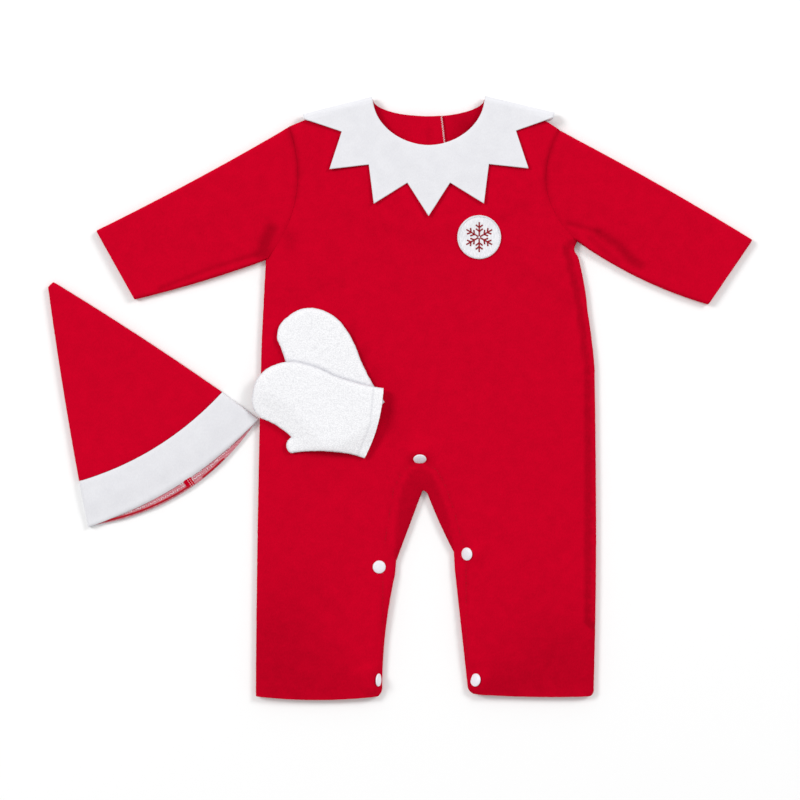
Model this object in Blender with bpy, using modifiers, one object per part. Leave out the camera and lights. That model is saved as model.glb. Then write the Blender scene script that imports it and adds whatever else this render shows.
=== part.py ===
"""A child's elf costume laid flat on its back: romper with a zigzag collar, pointed hat and mittens.

All sizes are in millimetres and become metres when a mesh is made. +X is to the viewer's right,
+Y runs from the hems to the neck and +Z is up from the surface that the costume lies on.
"""

import math
from collections import namedtuple

import bmesh
import bpy
from mathutils import Matrix, Vector

MM = 0.001

# Cloth
WALL = 2.0  # brushed fleece
COLLAR_WALL = 1.6
MITTEN_WALL = 1.6
FACING_WALL = 1.0
SEAM_GAP = 0.3  # between two pieces that are sewn or lie together
FULL = 7.6  # the romper's two panels with the air between them
EDGE_HALF = 1.15  # half the height of a sewn edge
ROLL = 10.0  # how far from a sewn edge the cloth is still turning
EDGE_STRIP = 5.0  # a strip of faces that follows the cut edge

# Body
NECK_X = 28.5
NECK_Y = 298.0
NECK_HALF = 55.5
NECK_POWER = 1.9
FRONT_DEPTH = 46.0
BACK_DEPTH = 16.5
SEAM_X = 24.5  # the centre-back seam
CROTCH_Y = -90.0
LAP_END = 40.0  # the centre-back opening laps from here up to the neck
LAP_TURN = 0.17  # where the upper lap ends on the neck curve, as a share of its right half
LAP_TABLE = 14.0  # the lap rises to its height over this distance
CELL = 14.0  # cells that the panels are cut into
LEG_CELL = 42.0

# A stretch of cut edge runs from its own point to the next row's and bows out by "bow".
Edge = namedtuple("Edge", "kind x y bow steps")
ROLLED = ("shoulder", "side", "inseam")
LEFT_EDGES = (
    Edge("shoulder", NECK_X - NECK_HALF, NECK_Y, 2.0, 6),
    Edge("armhole", -111.0, 271.0, -19.0, 12),
    Edge("side", -134.0, 138.0, 0.0, 4),
    Edge("side", -138.0, 60.0, 1.0, 12),
    Edge("hem", -144.0, -298.0, 3.65, 7),
    Edge("inseam", -22.0, -298.0, 1.5, 2),
    Edge("inseam", -18.0, -288.0, -3.0, 7),
    Edge("inseam", -5.0, -176.0, 0.0, 1),
    Edge("inseam", -4.0, -163.0, 0.0, 5),
    Edge("inseam", SEAM_X, CROTCH_Y, 0.0, 0),
)
RIGHT_EDGES = (
    Edge("inseam", SEAM_X, CROTCH_Y, 0.0, 5),
    Edge("inseam", 54.0, -154.0, 0.0, 1),
    Edge("inseam", 55.0, -172.0, 0.0, 7),
    Edge("inseam", 68.0, -290.0, 1.5, 2),
    Edge("hem", 76.0, -296.0, 1.5, 7),
    Edge("side", 190.0, -298.0, 1.5, 2),
    Edge("side", 194.5, -290.0, 0.5, 7),
    Edge("side", 195.0, -140.0, 0.0, 9),
    Edge("side", 186.5, 88.0, 2.0, 3),
    Edge("side", 178.0, 139.0, 0.0, 1),
    Edge("armhole", 173.0, 151.0, -19.5, 12),
    Edge("shoulder", 159.0, 267.0, 5.0, 6),
    Edge("neck", NECK_X + NECK_HALF, NECK_Y, 0.0, 0),
)

# A crease is a straight soft fold: "top" moves the upper face and "under" the lower one.
Crease = namedtuple("Crease", "x0 y0 x1 y1 width top under")
CREASES = (
    Crease(8.0, -62.0, 36.0, -58.0, 26.0, 1.6, 0.2),  # the snap placket's layers at the crotch
    Crease(62.0, -280.0, 76.0, -180.0, 16.0, 1.0, 0.2),
    Crease(-22.0, -280.0, -18.0, -190.0, 16.0, 1.0, 0.2),
    Crease(-70.0, 150.0, -124.0, 118.0, 13.0, 1.2, 1.2),
    Crease(-52.0, 118.0, -120.0, 92.0, 12.0, -1.5, -1.5),
    Crease(118.0, 130.0, 168.0, 96.0, 13.0, -1.5, -1.5),
    Crease(-95.0, -175.0, -60.0, -215.0, 14.0, -1.2, -1.2),
    Crease(150.0, -185.0, 110.0, -215.0, 14.0, -1.2, -1.2),
    Crease(-150.0, 172.0, -135.0, 146.0, 9.0, -1.6, -1.6),
    Crease(-158.0, 142.0, -236.0, 113.0, 8.0, -1.5, -1.5),
    Crease(-170.0, 196.0, -150.0, 216.0, 14.0, 0.8, 0.8),
    Crease(182.0, 170.0, 232.0, 137.0, 9.0, -1.6, -1.6),
    Crease(196.0, 196.0, 250.0, 176.0, 15.0, 0.8, 0.8),
)

# Collar: leaves spread from one point behind the neck, where the two shoulder folds would meet
FAN_X = 28.5
FAN_Y = 309.3
SHOULDER_SLOPES = (14.16, 13.46)  # degrees, left and right
FOLD_START = 57.0  # where the neck curve meets the shoulder folds
TIP_RADIUS = 128.0
VALLEY_RADIUS = 97.0
TIPS_PER_SHOULDER = 3
RAYS_PER_EDGE = 2
COLLAR_CELLS = 5
FOLD_RAYS = 6
BACK_SLIT = 2.0  # degrees from the centre back to each end of the collar
RISE = COLLAR_WALL + SEAM_GAP  # how much the collar's back leaf lifts the romper
RISE_INSIDE = 140.0
RISE_FADE = 18.0

# Sleeves
SLEEVE_STATIONS = 9
CUFF_FULL = 6.8
Sleeve = namedtuple("Sleeve", "name shoulder underarm cuff_top cuff_low top_bow low_bow ring_bow")
SLEEVES = (
    Sleeve("sleeve_left", (-111.0, 271.0), (-134.0, 138.0), (-303.3, 167.7), (-265.0, 98.5), 2.0, -2.0, -19.0),
    Sleeve("sleeve_right", (159.0, 267.0), (173.0, 151.0), (352.0, 158.5), (307.8, 93.5), -2.0, 5.0, 19.5),
)

# Hat
HAT_WALL = 1.9
CROWN_FULL = 6.6
BAND_FULL = 7.4
CROWN_STATIONS = 9
BAND_STATIONS = 4
HAT_TIP_LEFT = (-352.0, 110.5)
HAT_TIP_RIGHT = (-346.5, 116.0)
BAND_TOP_LEFT = (-321.0, -83.0)
BAND_TOP_RIGHT = (-178.0, 6.0)
MOUTH_LEFT = (-312.0, -129.0)
MOUTH_RIGHT = (-141.5, -21.0)
BAND_TOP_BOW = 11.7
MOUTH_FRONT_BOW = 10.9
MOUTH_BACK_BOW = 21.8
FACING_DEPTH = 26.0
FACING_INSET = 1.6
FACING_ENDS = 9.0
FACING_STEPS = 14

# Snap caps
CAP_RADIUS = 6.5
CAP_HEIGHT = 1.9
CAP_STEPS = 20
CAP_PROFILE = ((0.0, 1.0), (0.45, 0.93), (0.8, 0.68), (0.96, 0.3), (1.0, 0.0), (0.0, 0.0))
CAP_CLEARANCE = 0.45
Snap = namedtuple("Snap", "name x y")
SNAPS = (
    Snap("snap_crotch", 19.8, -60.6),
    Snap("snap_thigh_left", -20.8, -168.7),
    Snap("snap_thigh_right", 67.0, -155.8),
    Snap("snap_hem_left", -26.4, -281.5),
    Snap("snap_hem_right", 75.6, -281.5),
)

# Chest patch
PATCH_X = 79.0
PATCH_Y = 160.5
PATCH_RADIUS = 21.7
PATCH_WALL = 1.2
PATCH_CLEARANCE = 0.65
PATCH_SIDES = 32

# Mittens: x runs from the cuff to the fingertips and y towards the thumb
MITTEN_EDGES = (
    Edge("side", 0.0, -35.0, -1.5, 4),
    Edge("side", 49.7, -39.7, 2.0, 3),
    Edge("side", 89.5, -45.4, 2.5, 3),
    Edge("side", 116.4, -32.0, 3.0, 3),
    Edge("side", 124.5, -5.9, 4.0, 4),
    Edge("side", 111.5, 16.0, -2.0, 4),
    Edge("side", 77.9, 28.7, 3.0, 3),
    Edge("side", 79.3, 42.2, 1.5, 2),
    Edge("side", 72.0, 43.0, -1.5, 5),
    Edge("side", 28.9, 34.3, -1.0, 3),
    Edge("cuff", 2.7, 35.2, 4.0, 5),
    Edge("cuff", 0.0, -35.0, 0.0, 0),
)
MITTEN_FULL = 4.8
MITTEN_EDGE_HALF = 1.0
MITTEN_ROLL = 7.0
MITTEN_STRIP = 3.5
MITTEN_CELL = 9.0
MITTEN_BASE = FULL + 0.5
DRAPE_NEAR = 7.0  # the upper mitten stays at full height this far past the lower one
DRAPE_FAR = 22.0
Place = namedtuple("Place", "x y angle")
UNDER_MITTEN = Place(-38.9, -20.4, 128.7)
TOP_MITTEN = Place(-26.0, -26.0, 168.8)

Finish = namedtuple("Finish", "colour roughness")
FINISHES = {
    "red_fleece": Finish((0.58, 0.0, 0.015), 0.9),
    "white_fleece": Finish((0.82, 0.82, 0.85), 0.9),
    "white_felt": Finish((0.86, 0.86, 0.87), 0.95),
    "white_terry": Finish((0.9, 0.9, 0.91), 0.95),
    "pink_facing": Finish((0.58, 0.2, 0.2), 0.9),
    "snap_plastic": Finish((0.83, 0.8, 0.86), 0.35),
}


def smooth(share):
    """A soft step from 0 to 1."""
    share = min(max(share, 0.0), 1.0)
    return share * share * (3.0 - 2.0 * share)


def blend(first, second, share):
    return first + (second - first) * share


def bowed(start, end, bow, share):
    """A point on an edge that bows out to the right of its own direction."""
    dx, dy = end[0] - start[0], end[1] - start[1]
    out = 4.0 * bow * share * (1.0 - share) / math.hypot(dx, dy)
    return start[0] + dx * share + dy * out, start[1] + dy * share - dx * out


def stretch(edge, following):
    """The points of one edge, without its last."""
    ends = (edge.x, edge.y), (following.x, following.y)
    return [bowed(*ends, edge.bow, step / edge.steps) for step in range(edge.steps)]


def trace(edges):
    """The points of a whole run of edges."""
    points = []
    for edge, following in zip(edges, edges[1:]):
        points += stretch(edge, following)
    return points + [(edges[-1].x, edges[-1].y)]


def sewn_lines(edges, kinds):
    """The stretches of those kinds, each as a line of points."""
    lines = []
    for edge, following in zip(edges, edges[1:]):
        if edge.kind in kinds:
            lines.append(stretch(edge, following) + [(following.x, following.y)])
    return lines


def distance(lines, x, y):
    """How far a point is from the nearest of some lines."""
    best = math.inf
    for line in lines:
        for (ax, ay), (bx, by) in zip(line, line[1:]):
            dx, dy = bx - ax, by - ay
            share = ((x - ax) * dx + (y - ay) * dy) / (dx * dx + dy * dy)
            share = min(max(share, 0.0), 1.0)
            best = min(best, math.hypot(ax + dx * share - x, ay + dy * share - y))
    return best


def inside(points, x, y):
    """Whether a point lies inside a closed outline."""
    found = False
    for (ax, ay), (bx, by) in zip(points, points[1:] + points[:1]):
        if (ay > y) != (by > y) and x < ax + (bx - ax) * (y - ay) / (by - ay):
            found = not found
    return found


def rolled(far, width):
    """How full the cloth stands at some distance from a sewn edge, from 0 to 1."""
    short = 1.0 - min(far / width, 1.0)
    return math.sqrt(1.0 - short * short)


def rise(x, y):
    """How much the collar's back leaf lifts what lies on it."""
    far = math.hypot(x - FAN_X, y - FAN_Y)
    return RISE * smooth((RISE_INSIDE + RISE_FADE - far) / RISE_FADE)


def creased(x, y, column):
    """What the creases add to a height; column is "top" or "under"."""
    total = 0.0
    for crease in CREASES:
        line = [(crease.x0, crease.y0), (crease.x1, crease.y1)]
        far = distance([line], x, y) / crease.width
        total += getattr(crease, column) * math.exp(-far * far)
    return total


def neck(turn, depth):
    """A point on a neck curve, from turn -1 at the left shoulder to 1 at the right one."""
    angle = turn * math.pi / 2.0
    power = 2.0 / NECK_POWER
    across = math.copysign(abs(math.sin(angle)) ** power, turn)
    return NECK_X + NECK_HALF * across, NECK_Y - depth * abs(math.cos(angle)) ** power


def neck_run(start, end, depth, steps):
    return [neck(blend(start, end, step / steps), depth) for step in range(1, steps)]


BODY_SEAMS = sewn_lines(LEFT_EDGES, ROLLED) + sewn_lines(RIGHT_EDGES, ROLLED)


def front_heights(x, y):
    """The lower and upper face of the romper's front."""
    share = rolled(distance(BODY_SEAMS, x, y), ROLL)
    middle = rise(x, y) + FULL / 2.0
    low = middle + blend(SEAM_GAP / 2.0, FULL / 2.0 - WALL, share) + creased(x, y, "under") * share
    high = middle + blend(EDGE_HALF, FULL / 2.0, share) + creased(x, y, "top") * share
    return low, high


def back_heights(x, y):
    """The lower and upper face of the romper's back."""
    share = rolled(distance(BODY_SEAMS, x, y), ROLL)
    middle = rise(x, y) + FULL / 2.0
    low = middle - blend(EDGE_HALF, FULL / 2.0, share)
    high = middle - blend(SEAM_GAP / 2.0, FULL / 2.0 - WALL, share)
    return low, high


def lapped_heights(x, y):
    """The back half that lies over the other one at the centre-back opening."""
    lift = (WALL + SEAM_GAP) * smooth(x / LAP_TABLE) * smooth((y - LAP_TABLE) / LAP_TABLE)
    low, high = back_heights(x, y)
    return low + lift, high + lift


def finish(name):
    """The material of that name, made once."""
    found = bpy.data.materials.get(name)
    if found:
        return found
    made = bpy.data.materials.new(name)
    made.use_nodes = True
    shader = made.node_tree.nodes["Principled BSDF"]
    shader.inputs["Base Color"].default_value = (*FINISHES[name].colour, 1.0)
    shader.inputs["Roughness"].default_value = FINISHES[name].roughness
    shader.inputs["Metallic"].default_value = 0.0
    return made


def add_object(name, mesh, material):
    piece = bpy.data.objects.new(name, mesh)
    mesh.materials.append(finish(material))
    bpy.data.collections["elf_costume"].objects.link(piece)
    return piece


def add_closed(name, form, material):
    """An object from a closed form in millimetres, with its faces pointing out."""
    bmesh.ops.recalc_face_normals(form, faces=form.faces)
    bmesh.ops.scale(form, vec=(MM, MM, MM), verts=form.verts)
    mesh = bpy.data.meshes.new(name)
    form.to_mesh(mesh)
    form.free()
    mesh.shade_smooth()
    mesh.set_sharp_from_angle(angle=math.radians(50.0))
    return add_object(name, mesh, material)


def steps_between(low, high, size):
    """Multiples of a size that lie between two values."""
    return [size * k for k in range(math.ceil(low / size), math.floor(high / size) + 1)]


def panel(name, points, heights, strip, columns, rows, material):
    """A cut piece of cloth: its outline, with a strip along the edge, raised to its two heights."""
    form = bmesh.new()
    centre = form.faces.new([form.verts.new((x, y, 0.0)) for x, y in points])
    bmesh.ops.inset_region(form, faces=[centre], thickness=strip, use_even_offset=True)
    centre.material_index = 1
    cuts = [((x, 0.0, 0.0), (1.0, 0.0, 0.0)) for x in columns]
    cuts += [((0.0, y, 0.0), (0.0, 1.0, 0.0)) for y in rows]
    for place, normal in cuts:
        faces = [face for face in form.faces if face.material_index == 1]
        edges = {edge for face in faces for edge in face.edges}
        verts = {vert for face in faces for vert in face.verts}
        geometry = [*verts, *edges, *faces]
        bmesh.ops.bisect_plane(form, geom=geometry, plane_co=place, plane_no=normal, dist=0.01)
    for face in form.faces:
        face.material_index = 0
    raised = bmesh.ops.extrude_face_region(form, geom=form.faces[:])["geom"]
    upper = {item for item in raised if isinstance(item, bmesh.types.BMVert)}
    for vert in form.verts:
        low, high = heights(vert.co.x, vert.co.y)
        vert.co.z = high if vert in upper else low
    bmesh.ops.triangulate(form, faces=form.faces)
    return add_closed(name, form, material)


def flat_ring(start, end, bows, full, inset, sides):
    """Points round a pressed tube: over the top from start to end, and back underneath."""
    half = full / 2.0 - inset
    length = math.hypot(end[0] - start[0], end[1] - start[1])
    ring = []

    def add(along, height):
        share = along / length
        bow = blend(bows[1], bows[0], 0.5 + height / full)
        x, y = bowed(start, end, bow, share)
        crease = creased(x, y, "top") * smooth(0.5 + height / full)
        ring.append(Vector((x, y, rise(x, y) + full / 2.0 + height + crease)))

    flat_start, flat_end = inset + half, length - inset - half
    for step in range(sides):
        add(blend(flat_start, flat_end, step / sides), half)
    for step in range(5):
        turn = math.pi * (0.5 - step / 4)
        add(flat_end + half * math.cos(turn), half * math.sin(turn))
    for step in range(1, sides):
        add(blend(flat_end, flat_start, step / sides), -half)
    for step in range(4):
        turn = math.pi * (0.5 + step / 4)
        add(flat_start + half * math.cos(turn), -half * math.sin(turn))
    return ring


def join_rings(form, first, second):
    """A band of faces between two rings of the same number of points."""
    for here, there in zip(range(len(first)), [*range(1, len(first)), 0]):
        form.faces.new((first[here], first[there], second[there], second[here]))


def tube(name, outer, inner, material):
    """A pressed tube from rings; with fewer inner rings it is closed at its far end."""
    form = bmesh.new()
    skin = [[form.verts.new(point) for point in ring] for ring in outer]
    lining = [[form.verts.new(point) for point in ring] for ring in inner]
    for rings in (skin, lining):
        for first, second in zip(rings, rings[1:]):
            join_rings(form, first, second)
    join_rings(form, skin[0], lining[0])
    if len(outer) == len(inner):
        join_rings(form, skin[-1], lining[-1])
    else:
        form.faces.new(skin[-1])
        form.faces.new(lining[-1])
    bmesh.ops.triangulate(form, faces=form.faces)
    return add_closed(name, form, material)


def make_romper():
    front = trace(LEFT_EDGES) + trace(RIGHT_EDGES)[1:] + neck_run(1.0, -1.0, FRONT_DEPTH, 16)
    columns = steps_between(-150.0, 200.0, CELL)
    rows = steps_between(-300.0, 300.0, CELL)
    panel("romper_front", front, front_heights, EDGE_STRIP, columns, rows, "red_fleece")

    rows = steps_between(0.0, 300.0, CELL) + steps_between(-300.0, -1.0, LEG_CELL)
    lap_edge = neck(LAP_TURN, BACK_DEPTH)
    seam_x = SEAM_X - SEAM_GAP / 2.0
    left = trace(LEFT_EDGES)[:-1] + [(seam_x, CROTCH_Y), (seam_x, LAP_END), (lap_edge[0], LAP_END), lap_edge]
    left += neck_run(LAP_TURN, -1.0, BACK_DEPTH, 8)
    panel("romper_back_left", left, lapped_heights, EDGE_STRIP, columns, rows, "red_fleece")

    under_edge = neck(0.0, BACK_DEPTH)
    seam_x = SEAM_X + SEAM_GAP / 2.0
    right = [(seam_x, CROTCH_Y)] + trace(RIGHT_EDGES)[1:] + neck_run(1.0, 0.0, BACK_DEPTH, 6)
    right += [under_edge, (under_edge[0], LAP_END), (seam_x, LAP_END)]
    panel("romper_back_right", right, back_heights, EDGE_STRIP, columns, rows, "red_fleece")


def make_sleeve(sleeve):
    """A folded sleeve, from its armhole to its open cuff."""
    outer, inner = [], []
    for station in range(SLEEVE_STATIONS + 1):
        share = station / SLEEVE_STATIONS
        start = bowed(sleeve.shoulder, sleeve.cuff_top, sleeve.top_bow, share)
        end = bowed(sleeve.underarm, sleeve.cuff_low, sleeve.low_bow, share)
        if station == 0:
            away = 1.5 * SEAM_GAP * math.copysign(1.0, sleeve.shoulder[0])
            start, end = (start[0] + away, start[1]), (end[0] + away, end[1])
        bow = sleeve.ring_bow * (1.0 - share) ** 2
        full = blend(FULL, CUFF_FULL, share)
        outer.append(flat_ring(start, end, (bow, bow), full, 0.0, 12))
        inner.append(flat_ring(start, end, (bow, bow), full, WALL, 12))
    tube(sleeve.name, outer, inner, "red_fleece")


def make_hat():
    outer, inner = [], []
    for station in range(CROWN_STATIONS + 1):
        share = station / CROWN_STATIONS
        start = bowed(BAND_TOP_LEFT, HAT_TIP_LEFT, -2.6, share)
        end = bowed(BAND_TOP_RIGHT, HAT_TIP_RIGHT, 5.5, share)
        bow = BAND_TOP_BOW * (1.0 - share) ** 1.3
        outer.append(flat_ring(start, end, (bow, bow), CROWN_FULL, 0.0, 10))
        if station < CROWN_STATIONS - 1:
            inner.append(flat_ring(start, end, (bow, bow), CROWN_FULL, HAT_WALL, 10))
    tube("hat_crown", outer, inner, "red_fleece")

    outer, inner = [], []
    for station in range(BAND_STATIONS + 1):
        share = blend(0.012, 1.0, station / BAND_STATIONS)
        start = bowed(BAND_TOP_LEFT, MOUTH_LEFT, 0.0, share)
        end = bowed(BAND_TOP_RIGHT, MOUTH_RIGHT, 0.0, share)
        bows = (blend(BAND_TOP_BOW, MOUTH_FRONT_BOW, share), blend(BAND_TOP_BOW, MOUTH_BACK_BOW, share))
        outer.append(flat_ring(start, end, bows, BAND_FULL, 0.0, 14))
        inner.append(flat_ring(start, end, bows, BAND_FULL, HAT_WALL, 14))
    tube("hat_band", outer, inner, "white_fleece")

    low = HAT_WALL + SEAM_GAP
    mouth = facing_edge(FACING_INSET)
    hidden = facing_edge(FACING_DEPTH)

    def facing_heights(x, y):
        return low, low + FACING_WALL

    columns = steps_between(-320.0, -140.0, CELL)
    panel("hat_facing", mouth + hidden[::-1], facing_heights, 3.0, columns, [], "pink_facing")


def facing_edge(depth):
    """A line along the inside of the hat's mouth, at some depth from the rear edge."""
    share = depth / (Vector(MOUTH_LEFT) - Vector(BAND_TOP_LEFT)).length
    start = Vector(MOUTH_LEFT).lerp(Vector(BAND_TOP_LEFT), share)
    end = Vector(MOUTH_RIGHT).lerp(Vector(BAND_TOP_RIGHT), share)
    inward = (end - start).normalized() * FACING_ENDS
    bow = blend(MOUTH_BACK_BOW, BAND_TOP_BOW, share) - FACING_INSET
    return [bowed(start + inward, end - inward, bow, k / FACING_STEPS) for k in range(FACING_STEPS + 1)]


def collar_outer(tip_angle, turns):
    """Points along a zigzag edge, from one angle to another, tips and valleys in turn."""
    corners = []
    for step in range(turns + 1):
        angle = blend(*tip_angle, step / turns)
        radius = VALLEY_RADIUS if step % 2 else TIP_RADIUS
        corners.append(Vector((FAN_X + radius * math.sin(angle), FAN_Y - radius * math.cos(angle))))
    points = []
    for here, there in zip(corners, corners[1:]):
        points += [here.lerp(there, step / RAYS_PER_EDGE) for step in range(RAYS_PER_EDGE)]
    return points + [corners[-1]]


def leaf(turns, angles, turn_range, depth, drop, height):
    """Rays of a collar leaf that lies flat: from the neck curve out to the zigzag edge."""
    outer = collar_outer(angles, turns)
    rays = []
    for step, edge in enumerate(outer):
        turn = blend(*turn_range, step / (len(outer) - 1))
        x, y = neck(turn, depth)
        start = Vector((x, y - drop))
        points = [start.lerp(edge, k / COLLAR_CELLS) for k in range(COLLAR_CELLS + 1)]
        rays.append([Vector((*point, height)) for point in points])
    return rays


def shoulder_fold(angle, low, high, upward):
    """Rays of the collar where it turns over a shoulder."""
    along = Vector((math.sin(angle), -math.cos(angle), 0.0))
    out = Vector((-along.y, along.x, 0.0)) * math.copysign(1.0, angle)
    middle, radius = (low + high) / 2.0, (high - low) / 2.0
    rays = []
    for step in range(FOLD_RAYS + 1):
        turn = math.pi * (1.0 - step / FOLD_RAYS if upward else step / FOLD_RAYS)
        shift = out * radius * math.sin(turn) + Vector((FAN_X, FAN_Y, middle + radius * math.cos(turn)))
        spread = [blend(FOLD_START, TIP_RADIUS, k / COLLAR_CELLS) for k in range(COLLAR_CELLS + 1)]
        rays.append([shift + along * radius_here for radius_here in spread])
    return rays


def make_collar():
    """One white piece: left back leaf, left shoulder, front leaf, right shoulder, right back leaf."""
    low = COLLAR_WALL / 2.0
    high = RISE + FULL + SEAM_GAP + COLLAR_WALL / 2.0
    left = math.radians(SHOULDER_SLOPES[0] - 90.0)
    right = math.radians(90.0 - SHOULDER_SLOPES[1])
    slit = math.radians(BACK_SLIT)
    turns = 2 * TIPS_PER_SHOULDER
    rays = leaf(turns, (-slit, left), (-0.03, -0.97), BACK_DEPTH, 2.0, low)[:-1]
    rays += shoulder_fold(left, low, high, True)
    front_left = leaf(turns, (left, 0.0), (-0.97, 0.0), FRONT_DEPTH, 0.0, high)
    front_right = leaf(turns, (0.0, right), (0.0, 0.97), FRONT_DEPTH, 0.0, high)
    rays += front_left[1:] + front_right[1:-1]
    rays += shoulder_fold(right, low, high, False)
    rays += leaf(turns, (right, slit), (0.97, 0.03), BACK_DEPTH, 2.0, low)[1:]
    form = bmesh.new()
    grid = [[form.verts.new(point) for point in ray] for ray in rays]
    for here, there in zip(grid, grid[1:]):
        for k in range(COLLAR_CELLS):
            form.faces.new((here[k], here[k + 1], there[k + 1], there[k]))
    bmesh.ops.recalc_face_normals(form, faces=form.faces)
    bmesh.ops.scale(form, vec=(MM, MM, MM), verts=form.verts)
    mesh = bpy.data.meshes.new("collar")
    form.to_mesh(mesh)
    form.free()
    collar = add_object("collar", mesh, "white_fleece")
    thick = collar.modifiers.new("cloth", "SOLIDIFY")
    thick.thickness = COLLAR_WALL * MM
    thick.offset = 0.0


def make_patch():
    points = []
    for side in range(PATCH_SIDES):
        angle = 2.0 * math.pi * side / PATCH_SIDES
        points.append((PATCH_X + PATCH_RADIUS * math.cos(angle), PATCH_Y + PATCH_RADIUS * math.sin(angle)))

    def heights(x, y):
        low = front_heights(x, y)[1] + PATCH_CLEARANCE
        return low, low + PATCH_WALL

    panel("chest_patch", points, heights, 2.0, [PATCH_X], [PATCH_Y], "white_felt")


def make_snap(snap):
    """A turned cap that lies on the front and tilts with it."""
    profile = bpy.data.meshes.new(snap.name)
    points = [(radius * CAP_RADIUS * MM, 0.0, height * CAP_HEIGHT * MM) for radius, height in CAP_PROFILE]
    profile.from_pydata(points, [(k, k + 1) for k in range(len(points) - 1)], [])
    cap = add_object(snap.name, profile, "snap_plastic")
    turned = cap.modifiers.new("turned", "SCREW")
    turned.angle = 2.0 * math.pi
    turned.steps = turned.render_steps = CAP_STEPS
    turned.use_merge_vertices = True
    turned.merge_threshold = 0.00005
    around = [(snap.x + dx, snap.y + dy) for dx, dy in ((-5.0, 0.0), (5.0, 0.0), (0.0, -5.0), (0.0, 5.0))]
    west, east, south, north = (front_heights(x, y)[1] for x, y in around)
    normal = Vector(((west - east) / 10.0, (south - north) / 10.0, 1.0)).normalized()
    seat = max(front_heights(snap.x, snap.y)[1], (west + east) / 2.0, (south + north) / 2.0)
    cap.location = (Vector((snap.x, snap.y, seat)) + normal * CAP_CLEARANCE) * MM
    cap.rotation_euler = Vector((0.0, 0.0, 1.0)).rotation_difference(normal).to_euler()


def placed(place, points):
    turn = Matrix.Rotation(math.radians(place.angle), 2)
    return [tuple(turn @ Vector(point) + Vector((place.x, place.y))) for point in points]


def make_mitten(name, place, base):
    """A palm and a back sewn round the edge and open at the cuff; base gives what it lies on."""
    points = placed(place, trace(MITTEN_EDGES)[:-1])
    seams = [placed(place, line) for line in sewn_lines(MITTEN_EDGES, ("side",))]
    half = MITTEN_FULL / 2.0

    def layer(x, y, side):
        share = rolled(distance(seams, x, y), MITTEN_ROLL)
        middle = base(x, y) + half
        near = blend(SEAM_GAP / 2.0, half - MITTEN_WALL, share)
        far = blend(MITTEN_EDGE_HALF, half, share)
        return sorted((middle + side * near, middle + side * far))

    def palm_heights(x, y):
        return layer(x, y, -1.0)

    def back_of_hand_heights(x, y):
        return layer(x, y, 1.0)

    columns = steps_between(min(x for x, _ in points), max(x for x, _ in points), MITTEN_CELL)
    rows = steps_between(min(y for _, y in points), max(y for _, y in points), MITTEN_CELL)
    panel(name + "_palm", points, palm_heights, MITTEN_STRIP, columns, rows, "white_terry")
    panel(name + "_back", points, back_of_hand_heights, MITTEN_STRIP, columns, rows, "white_terry")
    return points


def make_mittens():
    under = make_mitten("mitten_under", UNDER_MITTEN, lambda x, y: MITTEN_BASE)
    edge = [under + under[:1]]

    def draped(x, y):
        far = 0.0 if inside(under, x, y) else distance(edge, x, y)
        share = smooth((DRAPE_FAR - far) / (DRAPE_FAR - DRAPE_NEAR))
        return MITTEN_BASE + (MITTEN_FULL + SEAM_GAP) * share

    make_mitten("mitten_top", TOP_MITTEN, draped)


def main():
    for item in list(bpy.data.objects):
        bpy.data.objects.remove(item)
    collection = bpy.data.collections.new("elf_costume")
    bpy.context.scene.collection.children.link(collection)
    make_romper()
    for sleeve in SLEEVES:
        make_sleeve(sleeve)
    make_collar()
    make_patch()
    for snap in SNAPS:
        make_snap(snap)
    make_hat()
    make_mittens()


main()
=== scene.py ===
# %% [markdown]
# # A child's elf costume, laid flat
#
# The costume is a red fleece romper with a pointed white collar, a cone hat and a pair of white
# mittens. It lies on a table and is seen from straight above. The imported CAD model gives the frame:
# each piece of cloth is there already as a plain solid. This notebook makes every piece again, finer,
# with its folds, seams and cloth, in the place where its solid lies.

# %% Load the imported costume
import math
from collections import namedtuple

import bmesh
import bpy
import numpy as np
from mathutils import Matrix, Vector, noise


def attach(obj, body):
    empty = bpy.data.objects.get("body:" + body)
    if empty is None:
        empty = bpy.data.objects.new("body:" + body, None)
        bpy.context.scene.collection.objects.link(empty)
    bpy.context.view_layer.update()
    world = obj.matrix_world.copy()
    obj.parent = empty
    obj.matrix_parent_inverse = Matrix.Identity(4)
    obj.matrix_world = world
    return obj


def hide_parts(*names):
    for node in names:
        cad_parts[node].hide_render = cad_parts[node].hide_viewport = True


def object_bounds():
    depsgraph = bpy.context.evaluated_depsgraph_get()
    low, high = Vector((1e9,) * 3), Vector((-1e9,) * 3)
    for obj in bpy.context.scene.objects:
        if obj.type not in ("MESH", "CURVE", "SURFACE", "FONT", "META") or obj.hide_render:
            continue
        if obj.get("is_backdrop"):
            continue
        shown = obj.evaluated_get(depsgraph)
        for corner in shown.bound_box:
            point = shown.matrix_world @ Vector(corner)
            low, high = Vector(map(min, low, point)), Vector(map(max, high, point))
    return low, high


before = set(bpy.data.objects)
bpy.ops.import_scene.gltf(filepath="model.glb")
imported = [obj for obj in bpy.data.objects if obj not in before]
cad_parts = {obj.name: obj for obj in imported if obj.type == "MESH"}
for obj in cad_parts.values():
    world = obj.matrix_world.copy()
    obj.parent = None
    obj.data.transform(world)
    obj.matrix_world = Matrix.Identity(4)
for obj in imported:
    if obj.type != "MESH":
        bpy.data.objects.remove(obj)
cad_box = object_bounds()
MM = 0.001
print(len(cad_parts), "CAD nodes, widest side", round((cad_box[1] - cad_box[0]).x, 4), "m")

# %% [markdown]
# ## The view
#
# A flat garment is photographed by a camera on a stand straight above the table. A wide lens would
# lean the thick pieces outwards, and a parallel view would look drawn. A long lens from far away keeps
# a trace of depth and still shows one millimetre of cloth as one dot of an 800-dot picture.

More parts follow.
